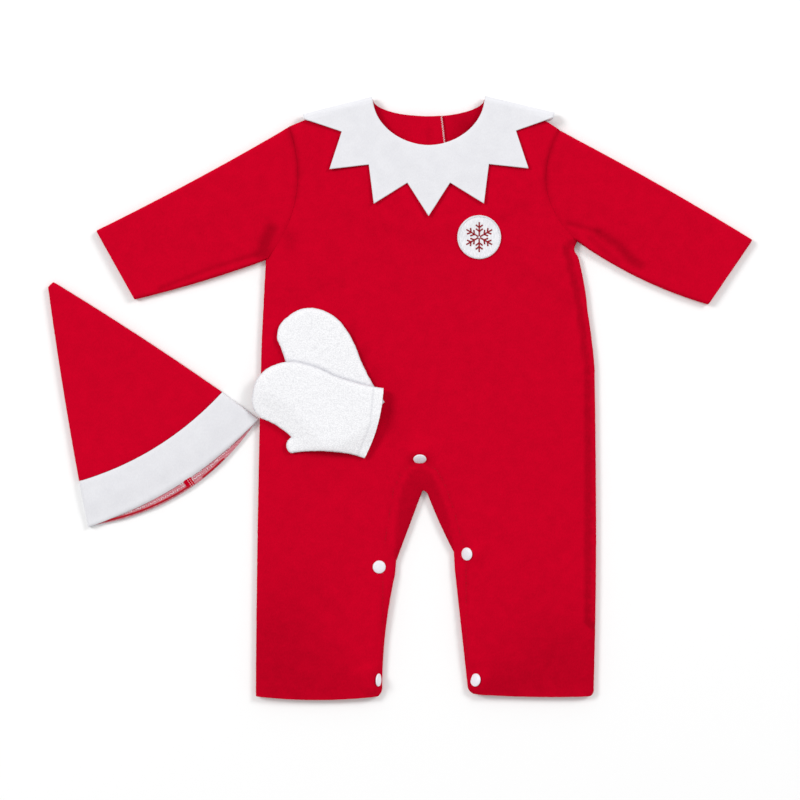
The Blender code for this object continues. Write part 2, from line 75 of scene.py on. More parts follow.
# %% Camera
VIEW_WIDTH = 0.8
LENS = 100.0
SENSOR = 36.0
LOOK_AT = Vector((0.0, -0.002, 0.004))

camera_data = bpy.data.cameras.new("overhead_camera")
camera_data.lens = LENS
camera_data.sensor_width = SENSOR
camera = bpy.data.objects.new("overhead_camera", camera_data)
camera.location = LOOK_AT + Vector((0.0, 0.0, VIEW_WIDTH * LENS / SENSOR))
bpy.context.collection.objects.link(camera)
bpy.context.scene.camera = camera
print("camera", round(camera.location.z, 3), "m above the table")

# %% [markdown]
# ## The light
#
# The shadows in such a picture are soft and pale, and run along nearly every edge. That is what two
# soft boxes give, one at each side and both a little above the top of the picture, with white walls
# all round that fill the shadows. The left box is the stronger one, so thick pieces throw their shadow
# to the right. Here area lights are the boxes and an even white world is the walls. The colours are
# shown as they are, without a film look, because such a picture is meant to give the cloth's true red.

# %% Two soft boxes in a white room
SoftBox = namedtuple("SoftBox", "name place size power")
SOFT_BOXES = (
    SoftBox("soft_box_left", (-4.6, 2.4, 4.4), 2.0, 208.0),
    SoftBox("soft_box_right", (4.4, 3.2, 4.2), 2.0, 178.0),
)
ROOM_LIGHT = 0.61

for box in SOFT_BOXES:
    light_data = bpy.data.lights.new(box.name, "AREA")
    light_data.shape = "SQUARE"
    light_data.size = box.size
    light_data.energy = box.power
    light = bpy.data.objects.new(box.name, light_data)
    light.location = box.place
    light.rotation_euler = (-Vector(box.place)).to_track_quat("-Z", "Y").to_euler()
    bpy.context.collection.objects.link(light)

room = bpy.data.worlds.new("white_room")
room.use_nodes = True
room.node_tree.nodes["Background"].inputs["Color"].default_value = (1.0, 1.0, 1.0, 1.0)
room.node_tree.nodes["Background"].inputs["Strength"].default_value = ROOM_LIGHT
bpy.context.scene.world = room
bpy.context.scene.view_settings.view_transform = "Standard"
print(len(SOFT_BOXES), "soft boxes")

# %% [markdown]
# ## Small tools for materials
#
# A material is a small tree of nodes. One helper adds a node with its settings, its values and its
# links, so that each material below reads as a list of what the cloth shows. Every pattern is read at
# the place on the object. Colours are written as the hex codes that a colour picker gives, and one
# function turns them into Blender's linear values.

# %% A node, a colour and a size
def fill_inputs(tree, node, inputs):
    """Sets inputs to values or to outputs; a node by itself stands for its first output."""
    for socket, value in inputs.items():
        if isinstance(value, bpy.types.Node):
            value = value.outputs[0]
        if isinstance(value, bpy.types.NodeSocket):
            tree.links.new(value, node.inputs[socket])
        else:
            node.inputs[socket].default_value = value


def add_node(tree, kind, inputs=None, **settings):
    """Adds a node with its settings, its values and its links."""
    made = tree.nodes.new(kind)
    for name, value in settings.items():
        setattr(made, name, value)
    fill_inputs(tree, made, inputs or {})
    return made


def hex_colour(code):
    """The linear colour of an sRGB hex code such as #C80021."""
    parts = [int(code[k : k + 2], 16) / 255.0 for k in (1, 3, 5)]
    return (*[p / 12.92 if p <= 0.04045 else ((p + 0.055) / 1.055) ** 2.4 for p in parts], 1.0)


def per_metre(size):
    """The scale of a pattern whose marks are that many millimetres apart."""
    return 1.0 / (size * MM)


def new_material(name):
    """A material, its nodes, its shader and the place on the object."""
    made = bpy.data.materials.new(name)
    made.use_nodes = True
    tree = made.node_tree
    place = add_node(tree, "ShaderNodeTexCoord").outputs["Object"]
    return made, tree, tree.nodes["Principled BSDF"], place


# %% [markdown]
# ## Brushed fleece
#
# The romper is polyester fleece: a knit whose loops are brushed up into a short nap. The nap hides
# the knit and has no shine. The colour runs between two reds by a value stored on the cloth, with fine
# tufts and wider clumps mixed in. The stored value is painted shade in folds, along the placket and
# beside other pieces, and a darker tone in a few places. The tufts also stand up a little as bump, and
# a faint sheen catches the light on the edges. The same recipe with other colours gives the white
# fleece of the collar and of the hat's band.

# %% Fleece, in red and in white
Fleece = namedtuple("Fleece", "name lit stroked tuft clump bump sheen nap_share tuft_share")
# The darker colour of each pair gives tufts and clumps their tone; on the red cloth it also stands for
# painted shade.
RED = Fleece("red_fleece", "#C70023", "#A2001A", 1.3, 11.0, 0.36, 0.08, 0.8, 0.36)
WHITE = Fleece("white_fleece", "#E1E1E5", "#CBCBD1", 1.2, 14.0, 0.26, 0.06, 0.6, 0.28)
FLEECE_ROUGHNESS = 0.92


def make_fleece(kind):
    made, tree, shader, place = new_material(kind.name)
    stretched = add_node(tree, "ShaderNodeMapping", {"Vector": place, "Scale": (1.0, 0.55, 1.0)})
    tufts = add_node(
        tree,
        "ShaderNodeTexNoise",
        {"Vector": stretched, "Scale": per_metre(kind.tuft), "Detail": 4.0, "Roughness": 0.65},
    )
    clumps = add_node(
        tree,
        "ShaderNodeTexNoise",
        {"Vector": place, "Scale": per_metre(kind.clump), "Detail": 3.0, "Roughness": 0.55},
    )
    # The stored value darkens the red: mostly painted shade, and a darker tone in a few places.
    nap = add_node(tree, "ShaderNodeAttribute", attribute_name="nap").outputs["Fac"]
    speckled = add_node(
        tree,
        "ShaderNodeMapRange",
        {"Value": tufts, "From Min": 0.3, "From Max": 0.7, "To Min": 0.0, "To Max": kind.tuft_share},
    )
    clouded = add_node(
        tree,
        "ShaderNodeMapRange",
        {"Value": clumps, "From Min": 0.3, "From Max": 0.7, "To Min": -0.1, "To Max": 0.12},
    )
    stroked = add_node(
        tree, "ShaderNodeMath", {0: nap, 1: kind.nap_share, 2: speckled}, operation="MULTIPLY_ADD"
    )
    share = add_node(tree, "ShaderNodeMath", {0: stroked, 1: clouded}, operation="ADD", use_clamp=True)
    colour = add_node(
        tree,
        "ShaderNodeMix",
        {"Factor": share, 6: hex_colour(kind.lit), 7: hex_colour(kind.stroked)},
        data_type="RGBA",
    ).outputs[2]
    low = add_node(tree, "ShaderNodeBump", {"Height": clumps, "Distance": 0.4 * MM, "Strength": 0.5})
    high = add_node(
        tree,
        "ShaderNodeBump",
        {"Height": tufts, "Distance": kind.bump * MM, "Strength": 0.8, "Normal": low},
    )
    finish = {
        "Base Color": colour,
        "Normal": high,
        "Roughness": FLEECE_ROUGHNESS,
        "IOR": 1.4,
        "Specular IOR Level": 0.04,
        "Sheen Weight": kind.sheen,
        "Sheen Roughness": 0.6,
        "Sheen Tint": hex_colour(kind.lit),
    }
    fill_inputs(tree, shader, finish)
    return made


red_fleece = make_fleece(RED)
white_fleece = make_fleece(WHITE)
print("fleece tufts", RED.tuft, "mm apart, clumps", RED.clump, "mm")

# %% [markdown]
# ## Terry for the mittens
#
# The mittens are fluffier than the collar: a white looped pile, bright on the loops and grey between
# them. A cell pattern gives the loops, and a little noise bends its lines so that no two loops are
# alike. At the seams and the cuff hem the pile is pressed down and looks greyer, and along the seams
# that grey is painted shade as well. Under the other mitten's edge the grey is painted shade. A value
# stored on the cloth says where.

# %% White terry
LOOP_SIZE = 1.3


def make_terry():
    made, tree, shader, place = new_material("white_terry")
    wander = add_node(
        tree, "ShaderNodeTexNoise", {"Vector": place, "Scale": per_metre(4.0), "Detail": 2.0}
    ).outputs["Color"]
    bent = add_node(
        tree,
        "ShaderNodeVectorMath",
        {0: wander, 1: (0.0012, 0.0012, 0.0012), 2: place},
        operation="MULTIPLY_ADD",
    )
    loops = add_node(
        tree, "ShaderNodeTexVoronoi", {"Vector": bent, "Scale": per_metre(LOOP_SIZE), "Randomness": 1.0}
    )
    fuzz = add_node(
        tree,
        "ShaderNodeTexNoise",
        {"Vector": place, "Scale": per_metre(0.9), "Detail": 4.0, "Roughness": 0.7},
    )
    deep = add_node(
        tree, "ShaderNodeMapRange", {"Value": loops, "From Min": 0.25, "From Max": 0.75, "To Max": 0.55}
    )
    speck = add_node(
        tree, "ShaderNodeMapRange", {"Value": fuzz, "From Min": 0.5, "From Max": 0.75, "To Max": 0.5}
    )
    share = add_node(tree, "ShaderNodeMath", {0: deep, 1: speck}, operation="ADD", use_clamp=True)
    looped = add_node(
        tree,
        "ShaderNodeMix",
        {"Factor": share, 6: hex_colour("#F4F4F6"), 7: hex_colour("#D6D6DA")},
        data_type="RGBA",
    ).outputs[2]
    # Mixed towards grey where the pile is pressed and where shade is painted.
    nap = add_node(tree, "ShaderNodeAttribute", attribute_name="nap").outputs["Fac"]
    colour = add_node(
        tree, "ShaderNodeMix", {"Factor": nap, 6: looped, 7: hex_colour("#B4B4BC")}, data_type="RGBA"
    ).outputs[2]
    low = add_node(
        tree, "ShaderNodeBump", {"Height": loops, "Distance": 0.3 * MM, "Strength": 0.6}, invert=True
    )
    high = add_node(
        tree, "ShaderNodeBump", {"Height": fuzz, "Distance": 0.2 * MM, "Strength": 0.6, "Normal": low}
    )
    finish = {
        "Base Color": colour,
        "Normal": high,
        "Roughness": 0.95,
        "Specular IOR Level": 0.05,
        "Sheen Weight": 0.05,
        "Sheen Roughness": 0.7,
    }
    fill_inputs(tree, shader, finish)
    return made


white_terry = make_terry()
print("terry loops", LOOP_SIZE, "mm apart")

# %% [markdown]
# ## Felt, facing, thread, snaps and the table
#
# The chest patch is pressed wool felt: fibres that lie every way, so a fine noise pulled long in two
# directions. The strip inside the hat is the back of a red and white knit and looks dusty pink, with
# ribs that run along it. Sewing thread is twisted and slightly silky. The snap caps are moulded
# acetal, a satin white plastic. The table is matt white paper.

# %% The plainer finishes
def make_felt():
    made, tree, shader, place = new_material("white_felt")
    fibres = []
    for turn in (0.6, 2.2):
        lie = {"Vector": place, "Rotation": (0.0, 0.0, turn), "Scale": (1.0, 0.25, 1.0)}
        turned = add_node(tree, "ShaderNodeMapping", lie)
        grain = {"Vector": turned, "Scale": per_metre(0.8), "Detail": 5.0}
        fibres.append(add_node(tree, "ShaderNodeTexNoise", grain))
    matted = add_node(tree, "ShaderNodeMath", {0: fibres[0], 1: fibres[1]}, operation="MULTIPLY")
    share = add_node(tree, "ShaderNodeMapRange", {"Value": matted, "From Min": 0.15, "From Max": 0.4})
    colour = add_node(
        tree,
        "ShaderNodeMix",
        {"Factor": share, 6: hex_colour("#D9D9DE"), 7: hex_colour("#F1F1F4")},
        data_type="RGBA",
    ).outputs[2]
    bump = add_node(tree, "ShaderNodeBump", {"Height": matted, "Distance": 0.25 * MM, "Strength": 0.7})
    finish = {"Base Color": colour, "Normal": bump, "Roughness": 0.95, "Specular IOR Level": 0.1}
    fill_inputs(tree, shader, finish)
    return made


def make_facing_knit():
    made, tree, shader, place = new_material("pink_facing")
    turned = add_node(
        tree, "ShaderNodeMapping", {"Vector": place, "Rotation": (0.0, 0.0, math.radians(-33.0))}
    )
    ribs = add_node(
        tree,
        "ShaderNodeTexWave",
        {"Vector": turned, "Scale": per_metre(8.0), "Distortion": 3.0, "Detail": 2.0},
        bands_direction="Y",
    )
    flecks = add_node(
        tree, "ShaderNodeTexNoise", {"Vector": place, "Scale": per_metre(1.4), "Detail": 4.0}
    )
    pale = add_node(
        tree, "ShaderNodeMapRange", {"Value": flecks, "From Min": 0.52, "From Max": 0.68, "To Max": 0.6}
    )
    base = add_node(
        tree,
        "ShaderNodeMix",
        {"Factor": ribs, 6: hex_colour("#B86470"), 7: hex_colour("#C67F87")},
        data_type="RGBA",
    ).outputs[2]
    colour = add_node(
        tree, "ShaderNodeMix", {"Factor": pale, 6: base, 7: hex_colour("#DFB2B6")}, data_type="RGBA"
    ).outputs[2]
    bump = add_node(tree, "ShaderNodeBump", {"Height": ribs, "Distance": 0.25 * MM, "Strength": 0.6})
    finish = {"Base Color": colour, "Normal": bump, "Roughness": 0.9, "Specular IOR Level": 0.15}
    fill_inputs(tree, shader, finish)
    return made


def make_thread(name, light, dark):
    made, tree, shader, place = new_material(name)
    twist = add_node(
        tree, "ShaderNodeTexNoise", {"Vector": place, "Scale": per_metre(0.5), "Detail": 2.0}
    )
    colour = add_node(
        tree,
        "ShaderNodeMix",
        {"Factor": twist, 6: hex_colour(light), 7: hex_colour(dark)},
        data_type="RGBA",
    ).outputs[2]
    bump = add_node(tree, "ShaderNodeBump", {"Height": twist, "Distance": 0.06 * MM, "Strength": 0.6})
    finish = {"Base Color": colour, "Normal": bump, "Roughness": 0.65, "Specular IOR Level": 0.2}
    fill_inputs(tree, shader, finish)
    return made


def make_acetal():
    made, tree, shader, place = new_material("snap_acetal")
    cloudy = add_node(
        tree, "ShaderNodeTexNoise", {"Vector": place, "Scale": per_metre(3.0), "Detail": 3.0}
    )
    colour = add_node(
        tree,
        "ShaderNodeMix",
        {"Factor": cloudy, 6: hex_colour("#E0DDE5"), 7: hex_colour("#EBE9EF")},
        data_type="RGBA",
    ).outputs[2]
    worn = add_node(tree, "ShaderNodeMapRange", {"Value": cloudy, "To Min": 0.32, "To Max": 0.46})
    finish = {
        "Base Color": colour,
        "Roughness": worn,
        "IOR": 1.48,
        "Subsurface Weight": 0.1,
        "Subsurface Radius": (0.001, 0.001, 0.001),
    }
    fill_inputs(tree, shader, finish)
    return made


def make_paper():
    made, tree, shader, place = new_material("white_paper")
    grain = add_node(tree, "ShaderNodeTexNoise", {"Vector": place, "Scale": per_metre(2.0)})
    bump = add_node(tree, "ShaderNodeBump", {"Height": grain, "Distance": 0.02 * MM})
    finish = {"Base Color": hex_colour("#F5F5F5"), "Normal": bump, "Roughness": 0.95}
    fill_inputs(tree, shader, finish)
    return made


white_felt = make_felt()
pink_facing = make_facing_knit()
white_thread = make_thread("white_thread", "#F4F4F6", "#D6D6DC")
red_thread = make_thread("red_thread", "#A8001A", "#840012")
topstitch_thread = make_thread("topstitch_thread", "#BE0020", "#9C0018")
snap_acetal = make_acetal()
paper = make_paper()
print(len(bpy.data.materials), "materials")

# %% [markdown]
# ## The table
#
# One large sheet, a hair under the costume, so that cloth and paper don't share a plane and flicker.

# %% Table
TABLE_HALF = 12.0
TABLE_TOP = -0.0002

table_mesh = bpy.data.meshes.new("table")
corners = [(x, y, TABLE_TOP) for x, y in ((-1, -1), (1, -1), (1, 1), (-1, 1))]
table_mesh.from_pydata([(x * TABLE_HALF, y * TABLE_HALF, z) for x, y, z in corners], [], [(0, 1, 2, 3)])
table_mesh.materials.append(paper)
table = bpy.data.objects.new("table", table_mesh)
bpy.context.collection.objects.link(table)
table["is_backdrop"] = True
print("table", 2 * TABLE_HALF, "m across")

# %% [markdown]
# ## Lines that a pattern maker draws
#
# A garment starts as a paper pattern. Its outline is a run of stretches, and each bows out a little.
# The same table gives the cut edge, the seams and how the cloth turns over at a sewn edge. Sizes are
# in millimetres, with x to the right and y from the hems up to the neck. Heights are worked out for
# all points of a piece at once with NumPy, which is far quicker than a loop.

# %% Pattern tools
Edge = namedtuple("Edge", "kind x y bow steps")


def soft_step(share):
    """A soft step from 0 to 1."""
    share = np.clip(share, 0.0, 1.0)
    return share * share * (3.0 - 2.0 * share)


def blend(first, second, share):
    return first + (second - first) * share


def bowed(start, end, bow, share):
    """Points on an edge that bows out to the right of its own direction."""
    dx, dy = end[0] - start[0], end[1] - start[1]
    out = 4.0 * bow * share * (1.0 - share) / math.hypot(dx, dy)
    return start[0] + dx * share + dy * out, start[1] + dy * share - dx * out


def stretch(edge, following, finer):
    steps = edge.steps * finer
    ends = (edge.x, edge.y), (following.x, following.y)
    return [bowed(*ends, edge.bow, step / steps) for step in range(steps)]


def trace(edges, finer=2):
    """The points of a whole run of edges."""
    points = []
    for edge, following in zip(edges, edges[1:]):
        points += stretch(edge, following, finer)
    return points + [(edges[-1].x, edges[-1].y)]


def lines_of(edges, *kinds):
    """The stretches of those kinds, each as a line of points."""
    lines = []
    for edge, following in zip(edges, edges[1:]):
        if edge.kind in kinds:
            lines.append(stretch(edge, following, 1) + [(following.x, following.y)])
    return lines


def away_from(lines, x, y):
    """How far points are from the nearest of some lines."""
    best = np.full(np.shape(x), np.inf)
    for line in lines:
        for (ax, ay), (bx, by) in zip(line, line[1:]):
            dx, dy = bx - ax, by - ay
            share = np.clip(((x - ax) * dx + (y - ay) * dy) / (dx * dx + dy * dy), 0.0, 1.0)
            best = np.minimum(best, np.hypot(ax + dx * share - x, ay + dy * share - y))
    return best


def within(points, x, y):
    """Which points lie inside a closed outline."""
    found = np.zeros(np.shape(x), bool)
    for (ax, ay), (bx, by) in zip(points, points[1:] + points[:1]):
        if ay != by:
            found ^= ((ay > y) != (by > y)) & (x < ax + (bx - ax) * (y - ay) / (by - ay))
    return found


def rolled(far, width):
    """How full the cloth stands at some distance from a sewn edge, from 0 to 1."""
    short = 1.0 - np.minimum(far / width, 1.0)
    return np.sqrt(1.0 - short * short)


def outline_area(points):
    pairs = zip(points, points[1:] + points[:1])
    return abs(sum(ax * by - bx * ay for (ax, ay), (bx, by) in pairs)) / 2.0


# %% [markdown]
# ## From a pattern to cloth
#
# To bend like cloth, a piece needs many small faces. The outline becomes one face, two narrow strips
# are set in along its edge, and a coarse grid is cut across the rest. A simple subdivision makes the
# cells small without moving anything. Then a height function lifts a copy of the sheet to its upper
# face and another to its lower one, and a slightly bulging wall closes them all round.

# %% Cloth tools
def finished_mesh(thing):
    """The mesh of an object with its modifiers applied."""
    bpy.context.view_layer.update()
    return bpy.data.meshes.new_from_object(
        thing.evaluated_get(bpy.context.evaluated_depsgraph_get())
    )


def cut_cells(points, strips, cell, levels):
    """A flat piece of cloth in small cells: its points, and its faces as lists of point numbers."""
    form = bmesh.new()
    centre = form.faces.new([form.verts.new((x, y, 0.0)) for x, y in points])
    for width in strips:
        bmesh.ops.inset_region(form, faces=[centre], thickness=width, use_even_offset=True)
    centre.material_index = 1
    spread = np.array(points)
    low, high = np.floor(spread.min(axis=0) / cell), np.ceil(spread.max(axis=0) / cell)
    cuts = [((k * cell, 0.0, 0.0), (1.0, 0.0, 0.0)) for k in np.arange(low[0], high[0] + 1)]
    cuts += [((0.0, k * cell, 0.0), (0.0, 1.0, 0.0)) for k in np.arange(low[1], high[1] + 1)]
    for place, normal in cuts:
        faces = [face for face in form.faces if face.material_index == 1]
        edges = {edge for face in faces for edge in face.edges}
        verts = {vert for face in faces for vert in face.verts}
        parts = [*verts, *edges, *faces]
        bmesh.ops.bisect_plane(form, geom=parts, plane_co=place, plane_no=normal, dist=0.01)
    mesh = bpy.data.meshes.new("cut")
    form.to_mesh(mesh)
    form.free()
    coarse = bpy.data.objects.new("cut", mesh)
    bpy.context.collection.objects.link(coarse)
    finer = coarse.modifiers.new("finer", "SUBSURF")
    finer.subdivision_type = "SIMPLE"
    finer.levels = finer.render_levels = levels
    fine = finished_mesh(coarse)
    flat = np.array([vert.co[:2] for vert in fine.vertices])
    faces = [list(face.vertices) for face in fine.polygons]
    if fine.polygons[0].normal.z < 0.0:
        faces = [face[::-1] for face in faces]
    bpy.data.objects.remove(coarse)
    return flat, faces


def rim_of(faces):
    """The edges on the outline, as pairs of point numbers with the cloth on their left."""
    sides = {(a, b) for face in faces for a, b in zip(face, face[1:] + face[:1])}
    return [(a, b) for a, b in sides if (b, a) not in sides]


CLOTH = "_cloth"


def add_piece(name, mesh, material, nap=None):
    """A piece of the costume from a mesh in millimetres."""
    mesh.transform(Matrix.Scale(MM, 4))
    mesh.shade_smooth()
    mesh.set_sharp_from_angle(angle=math.radians(60.0))
    mesh.materials.append(material)
    if nap is not None:
        values = mesh.attributes.new("nap", "FLOAT", "POINT")
        values.data.foreach_set("value", np.asarray(nap, dtype=np.float32))
    piece = bpy.data.objects.new(name, mesh)
    bpy.context.collection.objects.link(piece)
    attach(piece, "root")
    return piece


def sew_up(name, cells, heights, material, nap=None, bulge=0.15):
    """Two faces of cloth at their heights, closed by a wall that bulges out at half height."""
    flat, faces = cells
    x, y = flat[:, 0], flat[:, 1]
    low, high = heights(x, y)
    rim = sorted(rim_of(faces))
    outward = np.zeros_like(flat)
    for a, b in rim:
        side = flat[b] - flat[a]
        out = np.array((side[1], -side[0])) / max(np.hypot(*side), 1e-9)
        outward[a] += out
        outward[b] += out
    rim_points = sorted({a for a, _ in rim})
    number = {point: 2 * len(flat) + k for k, point in enumerate(rim_points)}
    sizes = np.maximum(np.hypot(outward[rim_points, 0], outward[rim_points, 1]), 1e-9)[:, None]
    pushed = flat[rim_points] + outward[rim_points] / sizes * bulge
    middle = (low[rim_points] + high[rim_points]) / 2.0
    points = np.vstack(
        (
            np.column_stack((x, y, high)),
            np.column_stack((x, y, low)),
            np.column_stack((pushed, middle)),
        )
    )
    count = len(flat)
    solid = list(faces) + [[point + count for point in reversed(face)] for face in faces]
    for a, b in rim:
        solid.append([b, a, number[a], number[b]])
        solid.append([number[b], number[a], a + count, b + count])
    mesh = bpy.data.meshes.new(name)
    mesh.from_pydata(points.tolist(), [], solid)
    if nap is not None:
        upper = nap(x, y)
        nap = np.concatenate((upper, np.zeros(count), upper[rim_points] * 0.5))
    return add_piece(name + CLOTH, mesh, material, nap)


def fluff(piece, size, height, seed):
    """Pushes each point in or out along its normal, so that no face is quite smooth."""
    mesh = piece.data
    shift = Vector((seed * 7.3, seed * 3.1, seed * 5.7))
    normals = [normal.vector.copy() for normal in mesh.vertex_normals]
    for vert, normal in zip(mesh.vertices, normals):
        vert.co += normal * (noise.noise(vert.co / (size * MM) + shift) * height * MM)
    return piece


print("cloth tools ready")

# %% [markdown]
# ## The romper's shape
#
# The romper is cut as one front, and two backs that lap at the centre-back opening, in brushed fleece
# 2 mm thick. Laid flat, the two sides lie on each other with a little air between them. They come
# together at the side seams, the shoulders and the inseam, where the cloth turns over in a soft roll.
# The roll is wider round the crotch, where the snap placket folds under. The neck is a low curve in
# front and a higher one behind, so that a red strip of the inside shows.

# %% Pattern of the romper
WALL = 2.0
SEAM_GAP = 0.3
FULL = 7.6
EDGE_HALF = 1.15
ROLL = 10.0
CROTCH_ROLL = 15.0
CROTCH_REACH = 52.0
NECK_X, NECK_Y = 28.5, 298.0
NECK_HALF = 55.5
NECK_POWER = 1.9
FRONT_DEPTH = 46.0
BACK_DEPTH = 16.5
SEAM_X, CROTCH_Y = 24.4, -87.0
LAP_END = 40.0
LAP_TURN = 0.17
LAP_TABLE = 14.0
LAP_SIDE = ((44.0, LAP_END), (45.8, 248.0))
HEM_Y = -298.0
SEWN = ("shoulder", "side", "inseam")
LEFT_EDGES = (
    Edge("shoulder", NECK_X - NECK_HALF, NECK_Y, 2.0, 6),
    Edge("armhole", -111.0, 271.0, -19.0, 12),
    Edge("side", -134.0, 138.0, 0.0, 6),
    Edge("side", -138.0, 60.0, 1.0, 22),
    Edge("hem", -144.0, -298.0, 3.65, 10),
    Edge("inseam", -22.0, -298.0, 1.5, 2),
    Edge("inseam", -18.0, -288.0, -3.0, 9),
    Edge("inseam", -5.0, -176.0, 0.0, 1),
    Edge("inseam", -4.0, -163.0, 0.0, 7),
    Edge("inseam", SEAM_X, CROTCH_Y, 0.0, 0),
)
RIGHT_EDGES = (
    Edge("inseam", SEAM_X, CROTCH_Y, 1.2, 6),
    Edge("inseam", 54.0, -154.0, 0.0, 1),
    Edge("inseam", 55.0, -172.0, 0.0, 9),
    Edge("inseam", 68.0, -290.0, 1.5, 2),
    Edge("hem", 76.0, -296.0, 1.5, 10),
    Edge("side", 190.0, -298.0, 1.5, 2),
    Edge("side", 193.5, -290.0, 0.5, 10),
    Edge("side", 196.0, -140.0, 0.3, 10),
    Edge("side", 194.3, 32.0, 0.5, 4),
    Edge("side", 187.3, 88.0, 1.2, 4),
    Edge("side", 178.0, 141.0, 0.0, 1),
    Edge("side", 173.2, 148.7, 0.0, 1),
    Edge("armhole", 177.0, 156.7, -21.7, 12),
    Edge("shoulder", 159.0, 267.8, 5.0, 6),
    Edge("neck", NECK_X + NECK_HALF, NECK_Y, 0.0, 0),
)
BODY_SEAMS = lines_of(LEFT_EDGES, *SEWN) + lines_of(RIGHT_EDGES, *SEWN)
ARMHOLES = lines_of(LEFT_EDGES, "armhole") + lines_of(RIGHT_EDGES, "armhole")


def neck(turn, depth):
    """A point on a neck curve, from turn -1 at the left shoulder to 1 at the right one."""
    angle = turn * math.pi / 2.0
    power = 2.0 / NECK_POWER
    across = math.copysign(abs(math.sin(angle)) ** power, turn)
    return NECK_X + NECK_HALF * across, NECK_Y - depth * abs(math.cos(angle)) ** power


def neck_run(start, end, depth, steps):
    return [neck(blend(start, end, step / steps), depth) for step in range(1, steps)]


hips = max(edge.x for edge in RIGHT_EDGES) - min(edge.x for edge in LEFT_EDGES)
print("romper pattern", hips, "mm wide at the most")

# %% [markdown]
# ## Folds
#
# Cloth that has been worn or packed never lies dead flat. The folds here are placed from the picture:
# two deep ones where each sleeve bends at the armpit, the pull lines of the placket, and a few shallow
# ones on the body. Each is a soft trough or ridge along a bent line, with its own width and depth. The
# side that is out of sight gets a few of its own. A long, low swell under everything keeps the light
# from falling evenly.

# %% Table of folds
Fold = namedtuple("Fold", "line width height")
TOP_FOLDS = (
    Fold(((8, -62), (36, -58)), 26.0, 1.2),
    Fold(((62, -280), (76, -180)), 16.0, 0.9),
    Fold(((-22, -280), (-18, -190)), 16.0, 0.9),
    Fold(((-70, 150), (-124, 118)), 13.0, 0.5),
    Fold(((-52, 118), (-88, 108), (-120, 92)), 12.0, -0.5),
    Fold(((118, 130), (146, 116), (168, 96)), 12.0, -0.5),
    Fold(((-95, -175), (-76, -200), (-60, -215)), 13.0, -0.4),
    Fold(((150, -185), (132, -204), (110, -215)), 13.0, -0.4),
    Fold(((-129, 168), (-134, 156), (-137, 144)), 6.8, -2.3),
    Fold(((-144, 143), (-190, 128.5), (-240, 108.5)), 2.8, -1.2),
    Fold(((-170, 196), (-150, 216)), 14.0, 0.8),
    Fold(((168, 174), (198, 166)), 2.8, -1.2),
    Fold(((200, 164), (219, 151), (232, 137), (240, 132)), 5.5, -1.7),
    Fold(((189, 160), (206, 144), (216, 136)), 4.0, -0.9),
    Fold(((196, 196), (250, 176)), 15.0, 0.8),
    Fold(((-118, 40), (-96, -30), (-102, -96)), 20.0, 0.5),
    Fold(((-64, -110), (-30, -128)), 11.0, 0.7),
    Fold(((84, -118), (112, -140)), 12.0, 0.7),
    Fold(((-268, 150), (-286, 118)), 12.0, 0.4),
    Fold(((318, 150), (296, 116)), 12.0, 0.4),
)
HIDDEN_FOLDS = (
    Fold(((-96, 150), (-122, 120)), 12.0, 1.0),
    Fold(((150, 142), (166, 110)), 11.0, 1.0),
    Fold(((-60, 60), (-84, -20), (-70, -80)), 16.0, 0.6),
    Fold(((96, 20), (120, -60)), 18.0, 0.6),
    Fold(((-150, 168), (-168, 148)), 8.0, 1.2),
    Fold(((186, 168), (214, 146)), 8.0, 1.2),
    Fold(((-240, 140), (-205, 152)), 9.0, 0.7),
    Fold(((262, 150), (288, 128)), 9.0, 0.7),
    Fold(((-80, -200), (-104, -236)), 13.0, 0.8),
    Fold(((128, -190), (150, -232)), 13.0, 0.8),
    Fold(((-320, -10), (-290, -40)), 13.0, 0.7),
    Fold(((-262, 30), (-238, -2)), 11.0, 0.6),
)
SWELL = 0.22


def folded(folds, x, y):
    """What the folds add to a height."""
    total = np.zeros(np.shape(x))
    for fold in folds:
        far = away_from([fold.line], x, y) / fold.width
        total += fold.height * np.exp(-far * far)
    return total


def swell(x, y):
    """Low waves of three lengths that cross each other."""
    waves = np.sin(x / 19.0 + y / 31.0 + 0.7) + np.sin(x / 27.0 - y / 17.0 + 2.1) + np.sin(y / 23.0 - 1.3)
    return SWELL * waves / 1.6


print(len(TOP_FOLDS), "folds on top,", len(HIDDEN_FOLDS), "on the hidden sides")

# %% [markdown]
# ## Snaps pull the cloth
#
# Five snap caps close the legs. A snap holds several layers, so the placket stands up stiffly round
# it and tips it: each cap faces the way its edge curls. The cloth under a cap is tilted by the same
# amount, and the tilt fades out a centimetre away.

# %% Where the snaps are and how they lean
Snap = namedtuple("Snap", "name x y tilt toward")
SNAPS = (
    Snap("snap_crotch", 19.8, -60.6, 46.0, -90.0),
    Snap("snap_thigh_left", -20.8, -168.7, 6.0, 10.0),
    Snap("snap_thigh_right", 67.0, -155.8, 38.0, 180.0),
    Snap("snap_hem_left", -21.8, -281.5, 67.0, 0.0),
    Snap("snap_hem_right", 75.6, -281.5, 44.0, 166.0),
)
SNAP_REACH = 11.0
LEAN_LOW, LEAN_HIGH = -2.4, 4.2


def leaned(x, y):
    """What the tilted snaps add to the front's height."""
    total = np.zeros(np.shape(x))
    for snap in SNAPS:
        dx, dy = x - snap.x, y - snap.y
        turn = math.radians(snap.toward)
        along = dx * math.cos(turn) + dy * math.sin(turn)
        fade = np.exp(-(dx * dx + dy * dy) / SNAP_REACH**2)
        total -= math.tan(math.radians(snap.tilt)) * along * fade
    return np.clip(total, LEAN_LOW, LEAN_HIGH)


